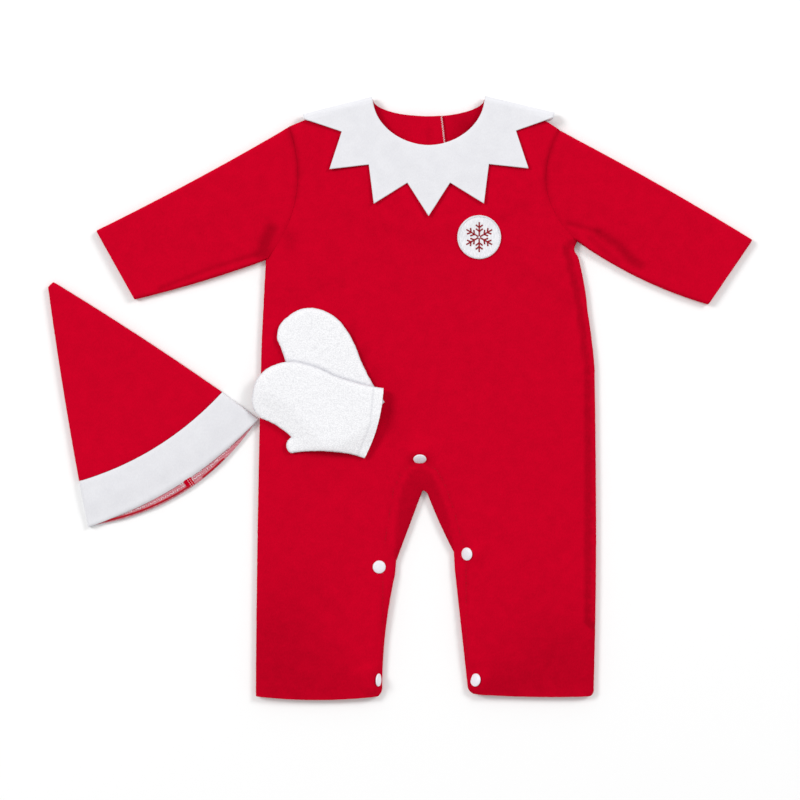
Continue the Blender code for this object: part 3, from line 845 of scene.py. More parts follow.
# %% Heights of the romper's front and back
RISE = 1.9
RISE_INSIDE = 140.0
RISE_FADE = 18.0
FAN_X, FAN_Y = 28.5, 309.3
GROOVE_DEPTH = 0.9
GROOVE_WIDTH = 2.8
HEM_TURN = 15.0
HEM_MARK = 0.3
STITCH_DENT = 0.45
DENT_WIDTH = 1.3
TOPSTITCHES = (
    ((13.2, -66.0), (2.5, -72.2), (-6.4, -91.0), (-10.9, -117.7), (-15.4, -146.0), (-16.6, -160.0)),
    ((-17.0, -177.0), (-17.2, -220.0), (-17.8, -262.0)),
    ((26.8, -65.6), (37.0, -72.0), (46.5, -90.0), (54.5, -114.0), (63.0, -146.0)),
    ((66.0, -165.0), (66.0, -218.0), (66.6, -262.0)),
)


def rise(x, y):
    """How much the collar's back leaf lifts what lies on it."""
    return RISE * soft_step((RISE_INSIDE + RISE_FADE - np.hypot(x - FAN_X, y - FAN_Y)) / RISE_FADE)


def seam_groove(lines, x, y):
    """A soft valley along a seam."""
    far = away_from(lines, x, y) / GROOVE_WIDTH
    return GROOVE_DEPTH * np.exp(-far * far)


def hem_mark(x, y):
    """The edge of the turned-up hem, which shows faintly through the cloth."""
    far = np.abs(y - HEM_Y - HEM_TURN) / 2.0
    return HEM_MARK * np.exp(-far * far)


def body_fullness(x, y):
    near_crotch = np.hypot(x - SEAM_X, y - CROTCH_Y) / CROTCH_REACH
    return rolled(away_from(BODY_SEAMS, x, y), ROLL + CROTCH_ROLL * np.exp(-near_crotch * near_crotch))


def front_heights(x, y):
    """The lower and upper face of the romper's front."""
    share = body_fullness(x, y)
    middle = rise(x, y) + FULL / 2.0
    moved = (folded(TOP_FOLDS, x, y) + swell(x, y) + leaned(x, y)) * share
    moved -= seam_groove(ARMHOLES, x, y) + hem_mark(x, y)
    dent = away_from(TOPSTITCHES, x, y) / DENT_WIDTH
    high = middle + blend(EDGE_HALF, FULL / 2.0, share) + moved - STITCH_DENT * np.exp(-dent * dent)
    low = middle + blend(SEAM_GAP / 2.0, FULL / 2.0 - WALL, share) + moved
    return np.maximum(low, middle + SEAM_GAP / 2.0), np.maximum(high, middle + EDGE_HALF * 0.9)


def back_heights(x, y):
    """The lower and upper face of the romper's back."""
    share = body_fullness(x, y)
    middle = rise(x, y) + FULL / 2.0
    moved = (folded(HIDDEN_FOLDS, x, y) + 0.4 * np.abs(swell(x, y))) * share
    low = middle - blend(EDGE_HALF, FULL / 2.0, share) + moved + 0.5 * seam_groove(ARMHOLES, x, y)
    high = middle - blend(SEAM_GAP / 2.0, FULL / 2.0 - WALL, share) + moved
    return low, np.minimum(high, middle - SEAM_GAP / 2.0)


def lapped_heights(x, y):
    """The back half that lies over the other one at the centre-back opening."""
    lift = (WALL + SEAM_GAP) * soft_step(x / LAP_TABLE) * soft_step((y - LAP_TABLE) / LAP_TABLE)
    low, high = back_heights(x, y)
    return low + lift, high + lift


# %% [markdown]
# ## Painted shade on the red cloth
#
# The red is made darker where shade falls: in the troughs of folds, along the placket's arch over the
# crotch, in a stripe where the right side turns under, along the armhole seams and the topstitching,
# beside the lapped back opening and beside the lower mitten. This is painted shade. The red is also
# darker near the left armpit, over the lower legs and along the back neck. These places become the
# value that the fleece material reads.

# %% Painted shade on the red cloth
Rub = namedtuple("Rub", "x y across along strength")
DARK_SPOTS = (
    # Darker over the lower legs.
    Rub(-128.0, -262.0, 62.0, 74.0, 0.55),
    Rub(-62.0, -290.0, 40.0, 26.0, 0.3),
    Rub(158.0, -268.0, 66.0, 58.0, 0.55),
    Rub(96.0, -292.0, 34.0, 22.0, 0.4),
    # Darker near the left armpit.
    Rub(-110.0, 160.0, 6.0, 11.0, 0.45),
    # Darker along the back neck.
    Rub(0.0, 285.0, 34.0, 14.0, 0.22),
    # Painted shadow beside the lapped edge of the back opening, and painted shade along the edge of the half
    # under it.
    Rub(66.0, 270.0, 17.0, 20.0, 0.8),
    Rub(29.0, 264.0, 3.5, 14.0, 0.35),
    # Painted shadow beside the lower mitten and its cuff.
    Rub(-47.0, 64.0, 5.0, 13.0, 0.4),
    Rub(-36.0, 42.0, 5.0, 13.0, 0.5),
    Rub(-25.0, 20.0, 6.0, 12.0, 0.5),
    Rub(-8.0, -14.0, 7.0, 24.0, 0.5),
)
ARCH = [
    (-5.5, -162.0), (-2.9, -112.4), (1.6, -90.9), (9.6, -74.9), (19.5, -69.1),
    (31.1, -74.9), (38.2, -89.1), (45.4, -108.8), (51.6, -132.0), (54.3, -155.0),
]
ARCH_SOFT = 3.0
# Strengths of the painted shade on the crotch arch, in the right-side stripe, along the topstitching, in
# fold troughs and along the armhole seams.
ARCH_SHADE, STRIPE_SHADE, STITCH_SHADE = 0.62, 0.75, 0.3
FOLD_SHADE, FOLD_SHADE_FROM = 0.55, 0.15
ARM_SHADE, ARM_SHADE_MORE = 0.15, 0.7
ARM_SHADE_Y, ARM_SHADE_FADE, ARM_SHADE_WIDTH = 185.0, 45.0, 2.6
STRIPE_INSIDE = 7.7
STRIPE_HALF = 3.4
RIGHT_SIDE = [((174, 148), (186, 98), (194.3, 32), (196, -140), (194.5, -220))]


def stroked(x, y):
    """How dark the red is made, from 0 to 1: mostly painted shade."""
    # Painted shade in the troughs of the folds.
    value = np.clip(-folded(TOP_FOLDS, x, y) * FOLD_SHADE - FOLD_SHADE_FROM, 0.0, 1.0)
    for dark_spot in DARK_SPOTS:
        far = ((x - dark_spot.x) / dark_spot.across) ** 2
        value += dark_spot.strength * np.exp(-far - ((y - dark_spot.y) / dark_spot.along) ** 2)
    # Painted shade on the placket's arch over the crotch.
    arch = away_from([ARCH], x, y) * np.where(within(ARCH, x, y), 1.0, -1.0)
    value += ARCH_SHADE * soft_step(0.5 + arch / ARCH_SOFT)
    # Painted shade in a stripe inside the right side, where the cloth turns under.
    stripe = np.abs(away_from(RIGHT_SIDE, x, y) - STRIPE_INSIDE) / STRIPE_HALF
    value += STRIPE_SHADE * soft_step((1.3 - stripe) / 0.6)
    # Painted shade along the armhole seams, stronger towards the shoulders.
    upper_arm = ARM_SHADE + ARM_SHADE_MORE * soft_step((y - ARM_SHADE_Y) / ARM_SHADE_FADE)
    value += upper_arm * np.exp(-((away_from(ARMHOLES, x, y) / ARM_SHADE_WIDTH) ** 2))
    # Painted shade along the placket's topstitching.
    value += STITCH_SHADE * np.exp(-((away_from(TOPSTITCHES, x, y) / 1.4) ** 2))
    return np.clip(value, 0.0, 1.0)


# %% [markdown]
# ## Front and backs of the romper
#
# Each piece stands for its CAD node, and that node is hidden.

# %% Cut and lay the romper
STRIPS = (1.6, 3.4)
BODY_CELL = 14.0
NAP_SIZE = 2.6


def declare_sheet(piece, area):
    """Hides the CAD node that this piece of cloth stands for; area is not used."""
    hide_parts(piece.name.removesuffix(CLOTH))


def declare_panel(piece, points):
    """The same, for a piece whose pattern is an outline."""
    declare_sheet(piece, outline_area(points))


def lay_body(name, points, heights, height, seed):
    """One panel of the romper's body."""
    panel = sew_up(name, cut_cells(points, STRIPS, BODY_CELL, 2), heights, red_fleece, stroked)
    declare_panel(fluff(panel, NAP_SIZE, height, seed), points)


points = trace(LEFT_EDGES) + trace(RIGHT_EDGES)[1:] + neck_run(1.0, -1.0, FRONT_DEPTH, 40)
lay_body("romper_front", points, front_heights, 0.16, 1)

lap_edge = neck(LAP_TURN, BACK_DEPTH)
seam = SEAM_X - SEAM_GAP / 2.0
points = trace(LEFT_EDGES)[:-1] + [(seam, CROTCH_Y), (seam, LAP_END)]
points += [*LAP_SIDE, lap_edge] + neck_run(LAP_TURN, -1.0, BACK_DEPTH, 24)
lay_body("romper_back_left", points, lapped_heights, 0.12, 2)

under_edge = neck(0.0, BACK_DEPTH)
seam = SEAM_X + SEAM_GAP / 2.0
points = [(seam, CROTCH_Y)] + trace(RIGHT_EDGES)[1:] + neck_run(1.0, 0.0, BACK_DEPTH, 20)
points += [under_edge, (under_edge[0], LAP_END), (seam, LAP_END)]
lay_body("romper_back_right", points, back_heights, 0.12, 3)

# %% [markdown]
# ## Pressed tubes: sleeves and hat
#
# A sleeve, the hat's crown and its band are tubes pressed flat. Rings of points run over the top from
# one fold to the other and back underneath. The rings change along the piece, and an inner set one
# cloth thickness in makes the wall. At an open end a small lip rounds the cut.

# %% Tube tools
TURN_STEPS = 10


def pressed_ring(start, end, bows, full, inset, sides):
    """Points round a pressed tube, in millimetres."""
    half = full / 2.0 - inset
    length = math.hypot(end[0] - start[0], end[1] - start[1])
    first, last = full / 2.0, length - full / 2.0
    over = np.arange(sides) / sides
    round_end = math.pi * (0.5 - np.arange(TURN_STEPS + 1) / TURN_STEPS)
    under = np.arange(1, sides) / sides
    round_start = math.pi * (0.5 + np.arange(TURN_STEPS) / TURN_STEPS)
    along = np.concatenate(
        (
            blend(first, last, over),
            last + half * np.cos(round_end),
            blend(last, first, under),
            first + half * np.cos(round_start),
        )
    )
    height = np.concatenate(
        (
            np.full(sides, half),
            half * np.sin(round_end),
            np.full(sides - 1, -half),
            -half * np.sin(round_start),
        )
    )
    x, y = bowed(start, end, blend(bows[1], bows[0], 0.5 + height / full), along / length)
    upper = soft_step(0.5 + height / full)
    moved = (folded(TOP_FOLDS, x, y) + swell(x, y) - seam_groove(ARMHOLES, x, y)) * upper
    moved += (folded(HIDDEN_FOLDS, x, y) + 0.5 * seam_groove(ARMHOLES, x, y)) * (1.0 - upper)
    return np.column_stack((x, y, rise(x, y) + full / 2.0 + height + moved))


def join_rings(faces, first, second, count, flip=False):
    """A band of faces between two rings, which start at those point numbers."""
    for k in range(count):
        there = (k + 1) % count
        face = [first + k, first + there, second + there, second + k]
        faces.append(face[::-1] if flip else face)


def join_run(faces, first, rings, sides, flip=False):
    """Bands between each ring and the next, for rings whose points are numbered in turn."""
    for ring in range(rings - 1):
        here = first + ring * sides
        join_rings(faces, here, here + sides, sides, flip)


def close_run(faces, first, rings, sides):
    """The same, with a face over each end."""
    join_run(faces, first, rings, sides)
    last = first + (rings - 1) * sides
    faces.append([first + k for k in range(sides)][::-1])
    faces.append([last + k for k in range(sides)])


def closed_mesh(name, points, faces, merge=None):
    """A mesh whose faces look outwards; points as near as merge become one."""
    mesh = bpy.data.meshes.new(name)
    mesh.from_pydata(points, [], faces)
    form = bmesh.new()
    form.from_mesh(mesh)
    if merge:
        bmesh.ops.remove_doubles(form, verts=form.verts, dist=merge)
    bmesh.ops.recalc_face_normals(form, faces=form.faces)
    form.to_mesh(mesh)
    form.free()
    return mesh


def make_tube(name, outer, inner, lips, material, nap):
    """A pressed tube from rings. lips join the outer and inner rings at its open ends."""
    rings = list(outer) + list(inner)
    count = len(outer[0])
    faces = []
    join_run(faces, 0, len(outer), count)
    join_run(faces, len(outer) * count, len(inner), count, flip=True)
    ends = [(0, len(outer), True), (len(outer) - 1, len(rings) - 1, False)]
    for (out, within_it, flip), lip in zip(ends, lips):
        if lip is None:
            faces.append([out * count + k for k in range(count)][:: -1 if flip else 1])
            faces.append([within_it * count + k for k in range(count)][:: 1 if flip else -1])
            continue
        rings.append(lip)
        edge = len(rings) - 1
        join_rings(faces, out * count, edge * count, count, flip)
        join_rings(faces, edge * count, within_it * count, count, flip)
    points = np.vstack(rings)
    mesh = closed_mesh(name, points.tolist(), faces)
    return add_piece(name + CLOTH, mesh, material, nap(points[:, 0], points[:, 1]) if nap else None)


def ring_length(ring):
    return float(np.linalg.norm(np.roll(ring, -1, axis=0) - ring, axis=1).sum())


# %% [markdown]
# ## Sleeves
#
# Each sleeve is one piece, folded along the top of the arm and sewn underneath. It is set into the
# armhole with a plain seam, which shows as a narrow valley, and its cuff is left open.

# %% Make the sleeves
SLEEVE_STATIONS = 72
SLEEVE_SIDES = 48
CUFF_FULL = 6.8
LIP = 0.006
CUT_SHARE = 0.97
Sleeve = namedtuple("Sleeve", "name shoulder underarm cuff_top cuff_low top_bow low_bow ring_bow")
SLEEVES = (
    Sleeve(
        "sleeve_left", (-111.0, 271.0), (-134.0, 138.0), (-303.3, 167.7), (-265.0, 98.5), -2.0, -2.0, -19.0
    ),
    Sleeve(
        "sleeve_right", (159.0, 267.8), (177.0, 156.7), (352.0, 158.5), (307.8, 93.5), -2.0, 6.0, 21.7
    ),
)


def sleeve_ring(sleeve, share, inset):
    start = bowed(sleeve.shoulder, sleeve.cuff_top, sleeve.top_bow, share)
    end = bowed(sleeve.underarm, sleeve.cuff_low, sleeve.low_bow, share)
    away = 0.5 * SEAM_GAP * math.copysign(1.0, sleeve.shoulder[0]) * max(0.0, 1.0 - share * 9.0)
    start, end = (start[0] + away, start[1]), (end[0] + away, end[1])
    bow = sleeve.ring_bow * (1.0 - share) ** 2
    return pressed_ring(start, end, (bow, bow), blend(FULL, CUFF_FULL, share), inset, SLEEVE_SIDES)


for number, sleeve in enumerate(SLEEVES):
    shares = [station / SLEEVE_STATIONS for station in range(SLEEVE_STATIONS + 1)]
    outer = [sleeve_ring(sleeve, share, 0.0) for share in shares]
    inner = [sleeve_ring(sleeve, share, WALL) for share in shares]
    lips = [sleeve_ring(sleeve, 0.0, WALL / 2.0), sleeve_ring(sleeve, 1.0 + LIP * 0.5, WALL / 2.0)]
    arm = make_tube(sleeve.name, outer, inner, lips, red_fleece, stroked)
    wide, narrow = ring_length(outer[0]), ring_length(outer[-1])
    long = math.dist(sleeve.shoulder, sleeve.cuff_top)
    declare_sheet(
        fluff(arm, NAP_SIZE, 0.14, 4 + number),
        (wide + narrow) / 2.0 * long * CUT_SHARE,
    )

# %% [markdown]
# The seam allowance of each armhole is folded inwards under the seam. It fills the slit between the
# body and the sleeve, so that no light comes through: a soft cord of cloth along the armhole line.

# %% Seam allowances in the armholes
ALLOWANCE_WIDE, ALLOWANCE_TALL = 1.0, 2.8
ALLOWANCE_SIDES = 12


def cloth_cord(name, lines, wide, tall, material, nap):
    """Oval cords of cloth along lines in millimetres, closed at both ends."""
    points, faces = [], []
    for line in lines:
        line = np.asarray(line, dtype=float)
        first = len(points)
        ahead = np.gradient(line, axis=0)
        ahead /= np.linalg.norm(ahead, axis=1)[:, None]
        for place, forward in zip(line, ahead):
            sideways = np.cross(forward, (0.0, 0.0, 1.0))
            sideways /= np.linalg.norm(sideways)
            upward = np.cross(sideways, forward)
            for turn in np.linspace(0.0, 2.0 * math.pi, ALLOWANCE_SIDES, endpoint=False):
                points.append(place + wide * math.cos(turn) * sideways + tall * math.sin(turn) * upward)
        close_run(faces, first, len(line), ALLOWANCE_SIDES)
    mesh = closed_mesh(name, [tuple(point) for point in points], faces)
    return add_piece(name, mesh, material, np.full(len(points), nap))


allowances = []
for sleeve in SLEEVES:
    shares = np.linspace(0.012, 0.988, 48)
    x, y = bowed(sleeve.shoulder, sleeve.underarm, sleeve.ring_bow, shares)
    allowances.append(np.column_stack((x, y, rise(x, y) + FULL / 2.0)))
# The cord's red is set half way to the darker red: painted shade in the armhole seams.
folded_in = cloth_cord("armhole_allowances", allowances, ALLOWANCE_WIDE, ALLOWANCE_TALL, red_fleece, 0.5)
print("armhole allowances", len(allowances))

# %% [markdown]
# ## Hat
#
# The hat is a tall cone of red fleece with a white band round its mouth. It lies on its side, so its
# two layers are pressed together, and the mouth is a little open: the lower layer reaches further out
# than the upper one and shows the strip inside. The crown and the band are two tubes end to end, with
# the band slightly thicker, as a doubled band is.

# %% Make the crown and the band
HAT_WALL = 1.9
CROWN_FULL = 6.6
BAND_FULL = 7.4
CROWN_STATIONS = 76
BAND_STATIONS = 18
HAT_SIDES = 44
HAT_TIP_LEFT = (-352.0, 110.5)
HAT_TIP_RIGHT = (-346.5, 116.0)
BAND_TOP_LEFT = (-321.0, -83.0)
BAND_TOP_RIGHT = (-178.0, 6.0)
MOUTH_LEFT = (-312.0, -129.0)
MOUTH_RIGHT = (-141.5, -21.0)
BAND_TOP_BOW = 11.7
MOUTH_FRONT_BOW = 9.3
MOUTH_BACK_BOW = 20.4
FACING_BOW = 21.8
MOUTH_PRESS = 1.7
CROWN_PEAK = 40.0
BAND_DEEP, BAND_MEAN = 50.0, 48.0


def crown_ring(share, inset):
    start = bowed(BAND_TOP_LEFT, HAT_TIP_LEFT, -1.2, share)
    end = bowed(BAND_TOP_RIGHT, HAT_TIP_RIGHT, 1.6, share)
    bow = BAND_TOP_BOW * (1.0 - share) ** 1.3
    seam = 0.5 * max(0.0, 1.0 - share * 55.0) ** 2
    full = min(CROWN_FULL, math.dist(start, end) * 0.94) - 2.0 * seam
    ring = pressed_ring(start, end, (bow, bow), full, min(inset, full * 0.42), HAT_SIDES)
    ring[:, 2] += (CROWN_FULL - full) / 2.0
    return ring


def band_ring(share, inset):
    start = bowed(BAND_TOP_LEFT, MOUTH_LEFT, 0.0, share)
    end = bowed(BAND_TOP_RIGHT, MOUTH_RIGHT, 0.0, share)
    bows = (blend(BAND_TOP_BOW, MOUTH_FRONT_BOW, share), blend(BAND_TOP_BOW, MOUTH_BACK_BOW, share))
    seam = 1.3 * max(0.0, 1.0 - share * 14.0) ** 2
    full = BAND_FULL - seam - MOUTH_PRESS * float(soft_step((share - 0.45) / 0.55))
    ring = pressed_ring(start, end, bows, full, inset, HAT_SIDES)
    ring[:, 2] += seam / 2.0
    return ring


shares = [station / CROWN_STATIONS for station in range(CROWN_STATIONS + 1)]
outer = [crown_ring(share, 0.0) for share in shares]
inner = [crown_ring(share, HAT_WALL) for share in shares[:-2]]
lips = [crown_ring(0.0, HAT_WALL / 2.0), None]
crown = make_tube("hat_crown", outer, inner, lips, red_fleece, stroked)
around = ring_length(outer[0])
tall = math.dist(BAND_TOP_LEFT, HAT_TIP_LEFT) + CROWN_PEAK
fluff(crown, NAP_SIZE, 0.14, 6)
declare_sheet(crown, around * tall * 0.5)

shares = [blend(0.012, 1.0, station / BAND_STATIONS) for station in range(BAND_STATIONS + 1)]
outer = [band_ring(share, 0.0) for share in shares]
inner = [band_ring(share, HAT_WALL) for share in shares]
lips = [band_ring(0.006, HAT_WALL / 2.0), band_ring(1.01, HAT_WALL / 2.0)]
band = make_tube("hat_band", outer, inner, lips, white_fleece, None)
around = (ring_length(outer[0]) + ring_length(outer[-1])) / 2.0
fluff(band, 3.0, 0.12, 7)
declare_sheet(band, around * BAND_MEAN)

# %% [markdown]
# ## Inside the hat's mouth
#
# A narrow strip of knit covers the raw edge inside. It lies on the lower layer and follows its bow.

# %% Facing
FACING_WALL = 1.0
FACING_DEPTH = 26.0
FACING_INSET = 0.1
FACING_ENDS = 2.5
FACING_STEPS = 48


def facing_line(depth, height):
    """A line along the inside of the mouth, at some depth from the rear edge."""
    share = depth / math.dist(MOUTH_LEFT, BAND_TOP_LEFT)
    start = Vector(MOUTH_LEFT).lerp(Vector(BAND_TOP_LEFT), share)
    end = Vector(MOUTH_RIGHT).lerp(Vector(BAND_TOP_RIGHT), share)
    inward = (end - start).normalized() * FACING_ENDS
    bow = blend(FACING_BOW, BAND_TOP_BOW, share)
    places = [bowed(start + inward, end - inward, bow, k / FACING_STEPS) for k in range(FACING_STEPS + 1)]
    return np.array([(x, y, height) for x, y in places])


def facing_heights(x, y):
    low = HAT_WALL + SEAM_GAP + 0.12 * np.sin(x / 5.0)
    return low, low + FACING_WALL


near, far = facing_line(FACING_INSET, 0.0), facing_line(FACING_DEPTH, 0.0)
facing_points = [tuple(p[:2]) for p in near] + [tuple(p[:2]) for p in far[::-1]]
facing = sew_up("hat_facing", cut_cells(facing_points, (1.2,), 7.0, 2), facing_heights, pink_facing)
long = float(np.linalg.norm(np.diff(near, axis=0), axis=1).sum())
declare_sheet(facing, outline_area(facing_points))

# %% [markdown]
# ## Collar
#
# The collar is one white piece with an even row of points all round the neck. It lies on the chest,
# turns over both shoulders and lies under the back. Rays fan out from one point behind the neck to
# the zigzag edge: rays are easy to bend over the shoulders, where a flat cut would need a fold. Then
# Solidify gives the sheet its thickness. The points lift a little at their tips, as cut fleece does.

# %% Make the collar
COLLAR_WALL = 1.6
SHOULDER_SLOPES = (14.16, 13.46)
FOLD_START = 57.0
TIP_RADIUS = 128.0
VALLEY_RADIUS = 97.0
TIPS_PER_SHOULDER = 3
RAYS_PER_EDGE = 12
COLLAR_CELLS = 34
FOLD_RAYS = 16
BACK_SLIT = 2.0
TIP_LIFT = 1.1


def zigzag(angles, turns):
    """Points along the collar's edge, from one angle to another, tips and valleys in turn."""
    corners = []
    for step in range(turns + 1):
        angle = blend(*angles, step / turns)
        radius = VALLEY_RADIUS if step % 2 else TIP_RADIUS
        corners.append(Vector((FAN_X + radius * math.sin(angle), FAN_Y - radius * math.cos(angle))))
    points = []
    for here, there in zip(corners, corners[1:]):
        points += [here.lerp(there, step / RAYS_PER_EDGE) for step in range(RAYS_PER_EDGE)]
    return points + [corners[-1]]


def leaf(turns, angles, turn_range, depth, drop, height, side):
    """Rays of a flat part of the collar, from the neck curve to the zigzag edge."""
    outer = zigzag(angles, turns)
    rays = []
    for step, edge in enumerate(outer):
        x, y = neck(blend(*turn_range, step / (len(outer) - 1)), depth)
        start = Vector((x, y - drop))
        ray = []
        for k in range(COLLAR_CELLS + 1):
            place = start.lerp(edge, k / COLLAR_CELLS)
            out = (place - Vector((FAN_X, FAN_Y))).length
            curl = max(0.0, (out - VALLEY_RADIUS) / (TIP_RADIUS - VALLEY_RADIUS)) ** 2
            seam = math.exp(-((k * (edge - start).length / COLLAR_CELLS / 3.0) ** 2))
            wave = 0.25 * (1.0 + math.sin(place.x / 13.0 + place.y / 19.0))
            ray.append(Vector((*place, height + side * (TIP_LIFT * curl + wave) - side * 0.5 * seam)))
        rays.append(ray)
    return rays


def shoulder_fold(angle, low, high, upward):
    """Rays of the collar where it turns over a shoulder."""
    along = Vector((math.sin(angle), -math.cos(angle), 0.0))
    out = Vector((-along.y, along.x, 0.0)) * math.copysign(1.0, angle)
    middle, radius = (low + high) / 2.0, (high - low) / 2.0
    rays = []
    for step in range(FOLD_RAYS + 1):
        turn = math.pi * (1.0 - step / FOLD_RAYS if upward else step / FOLD_RAYS)
        shift = out * radius * math.sin(turn) + Vector((FAN_X, FAN_Y, middle + radius * math.cos(turn)))
        spread = [blend(FOLD_START, TIP_RADIUS, k / COLLAR_CELLS) for k in range(COLLAR_CELLS + 1)]
        rays.append([shift + along * here for here in spread])
    return rays


collar_low = COLLAR_WALL / 2.0
collar_high = RISE + FULL + 2.0 * SEAM_GAP + COLLAR_WALL / 2.0
left_angle = math.radians(SHOULDER_SLOPES[0] - 90.0)
right_angle = math.radians(90.0 - SHOULDER_SLOPES[1])
slit = math.radians(BACK_SLIT)
turns = 2 * TIPS_PER_SHOULDER
rays = leaf(turns, (-slit, left_angle), (-0.03, -0.97), BACK_DEPTH, 2.0, collar_low, 0.0)[:-1]
rays += shoulder_fold(left_angle, collar_low, collar_high, True)
rays += leaf(turns, (left_angle, 0.0), (-0.97, 0.0), FRONT_DEPTH, 0.0, collar_high, 1.0)[1:]
rays += leaf(turns, (0.0, right_angle), (0.0, 0.97), FRONT_DEPTH, 0.0, collar_high, 1.0)[1:-1]
rays += shoulder_fold(right_angle, collar_low, collar_high, False)
rays += leaf(turns, (right_angle, slit), (0.97, 0.03), BACK_DEPTH, 2.0, collar_low, 0.0)[1:]

form = bmesh.new()
grid = [[form.verts.new(point) for point in ray] for ray in rays]
for here, there in zip(grid, grid[1:]):
    for k in range(COLLAR_CELLS):
        form.faces.new((here[k], here[k + 1], there[k + 1], there[k]))
bmesh.ops.recalc_face_normals(form, faces=form.faces)
collar_mesh = bpy.data.meshes.new("collar")
form.to_mesh(collar_mesh)
form.free()
collar_sheet_area = sum(face.area for face in collar_mesh.polygons)
collar = add_piece("collar" + CLOTH, collar_mesh, white_fleece)
thick = collar.modifiers.new("cloth", "SOLIDIFY")
thick.thickness = COLLAR_WALL * MM
thick.offset = 0.0
collar.data = finished_mesh(collar)
collar.modifiers.clear()
fluff(collar, 3.0, 0.1, 8)
declare_sheet(collar, collar_sheet_area)

# %% [markdown]
# ## Mittens
#
# Each mitten is two white pieces sewn round the edge and open at the cuff. One lies on the romper,
# and the other lies partly on it: its height rises where the first one is underneath, so it drapes
# over the edge and leaves a soft shadow. The pile is deep enough to roughen the outline, so these
# pieces are cut finer and fluffed up more.

# %% Make the mittens
MITTEN_EDGES = (
    Edge("side", 0.0, -35.0, -1.5, 6),
    Edge("side", 49.7, -39.7, 2.0, 5),
    Edge("side", 89.5, -45.4, 2.5, 4),
    Edge("side", 116.4, -32.0, 3.0, 4),
    Edge("side", 124.5, -5.9, 4.0, 4),
    Edge("side", 111.5, 16.0, -2.0, 5),
    Edge("side", 77.9, 28.7, 3.0, 3),
    Edge("side", 79.3, 42.2, 1.5, 2),
    Edge("side", 72.0, 43.0, -1.5, 6),
    Edge("side", 28.9, 34.3, -1.0, 4),
    Edge("cuff", 2.7, 35.2, 4.0, 8),
    Edge("cuff", 0.0, -35.0, 0.0, 0),
)
MITTEN_WALL = 1.6
MITTEN_FULL = 4.8
MITTEN_EDGE_HALF = 1.0
MITTEN_ROLL = 7.0
MITTEN_BASE = FULL + 0.5
MITTEN_CELL = 9.0
CUFF_TURN = 7.0
DRAPE_NEAR, DRAPE_FAR = 4.0, 32.0
Place = namedtuple("Place", "x y angle corner")
UNDER_MITTEN = Place(-42.95, -23.1, 126.4, (-0.8, -33.5))
TOP_MITTEN = Place(-26.0, -26.0, 168.8, (-2.4, -36.8))
SEAM_SHADE, COVER_SHADE = 0.45, 0.6


def laid(place, points):
    turn = Matrix.Rotation(math.radians(place.angle), 2)
    return [tuple(turn @ Vector(point) + Vector((place.x, place.y))) for point in points]


def mitten_edges(place):
    """The pattern, with its cuff corner pulled to where this mitten shows it."""
    first, last = (MITTEN_EDGES[k]._replace(x=place.corner[0], y=place.corner[1]) for k in (0, -1))
    return (first, *MITTEN_EDGES[1:-1], last)


def mitten_outline(place):
    return laid(place, trace(mitten_edges(place))[:-1])


def make_mitten(name, place, base, lies_on, seed, covered_by=None):
    """A palm and a back; base gives the height of what they lie on."""
    points = mitten_outline(place)
    seams = [laid(place, line) for line in lines_of(mitten_edges(place), "side")]
    cuff_hem = [laid(place, [(CUFF_TURN, -34.0), (CUFF_TURN - 3.5, 0.0), (CUFF_TURN + 2.5, 34.0)])]
    cells = cut_cells(points, (1.2, 2.3), MITTEN_CELL, 3)

    def layer(x, y, side):
        share = rolled(away_from(seams, x, y), MITTEN_ROLL)
        middle = base(x, y) + MITTEN_FULL / 2.0
        swollen = 0.5 * (1.0 + np.sin(x / 9.0 + y / 14.0 + seed)) * share if side > 0 else 0.0
        hem = 0.35 * np.exp(-((away_from(cuff_hem, x, y) / 1.2) ** 2))
        near = blend(SEAM_GAP / 2.0, MITTEN_FULL / 2.0 - MITTEN_WALL, share)
        far = blend(MITTEN_EDGE_HALF, MITTEN_FULL / 2.0, share) + 0.5 * swollen - hem
        both = middle + side * near, middle + side * far
        return both if side > 0 else both[::-1]

    def pressed_pile_and_shade(x, y):
        """Greyer where the pile is pressed at seam and hem, with painted shade at the seams and under the
        other mitten's edge.
        """
        # Pressed pile along the seams, and painted shade there as well.
        value = SEAM_SHADE * np.exp(-((away_from(seams, x, y) / 1.1) ** 2))
        value += 0.3 * np.exp(-((away_from(cuff_hem, x, y) / 0.9) ** 2))
        if covered_by:
            # Painted shade under the other mitten's edge.
            over = away_from([covered_by + covered_by[:1]], x, y) / 2.4
            value += COVER_SHADE * np.exp(-(over**2))
        return np.clip(value, 0.0, 1.0)

    palm = sew_up(name + "_palm", cells, lambda x, y: layer(x, y, -1.0), white_terry, pressed_pile_and_shade)
    hand = sew_up(name + "_back", cells, lambda x, y: layer(x, y, 1.0), white_terry, pressed_pile_and_shade)
    for piece, under in ((palm, lies_on), (hand, [name + "_palm"])):
        fluff(fluff(piece, 1.9, 0.26, seed), 5.0, 0.2, seed + 9)
        declare_panel(piece, points)


def flat_base(x, y):
    """The height under the lower mitten."""
    return np.full(np.shape(x), MITTEN_BASE)


under_points, top_points = mitten_outline(UNDER_MITTEN), mitten_outline(TOP_MITTEN)
make_mitten("mitten_under", UNDER_MITTEN, flat_base, ["romper_front"], 11, top_points)


def draped(x, y):
    """The height under the upper mitten, which rises over the lower one."""
    edge = [under_points + under_points[:1]]
    far = np.where(within(under_points, x, y), 0.0, away_from(edge, x, y))
    share = soft_step((DRAPE_FAR - far) / (DRAPE_FAR - DRAPE_NEAR))
    return MITTEN_BASE + (MITTEN_FULL + SEAM_GAP) * share


make_mitten("mitten_top", TOP_MITTEN, draped, ["romper_front", "mitten_under_back"], 12)

# %% [markdown]
# ## Chest patch
#
# A round piece of white felt, cut clean. It lies on the front and follows its swell.

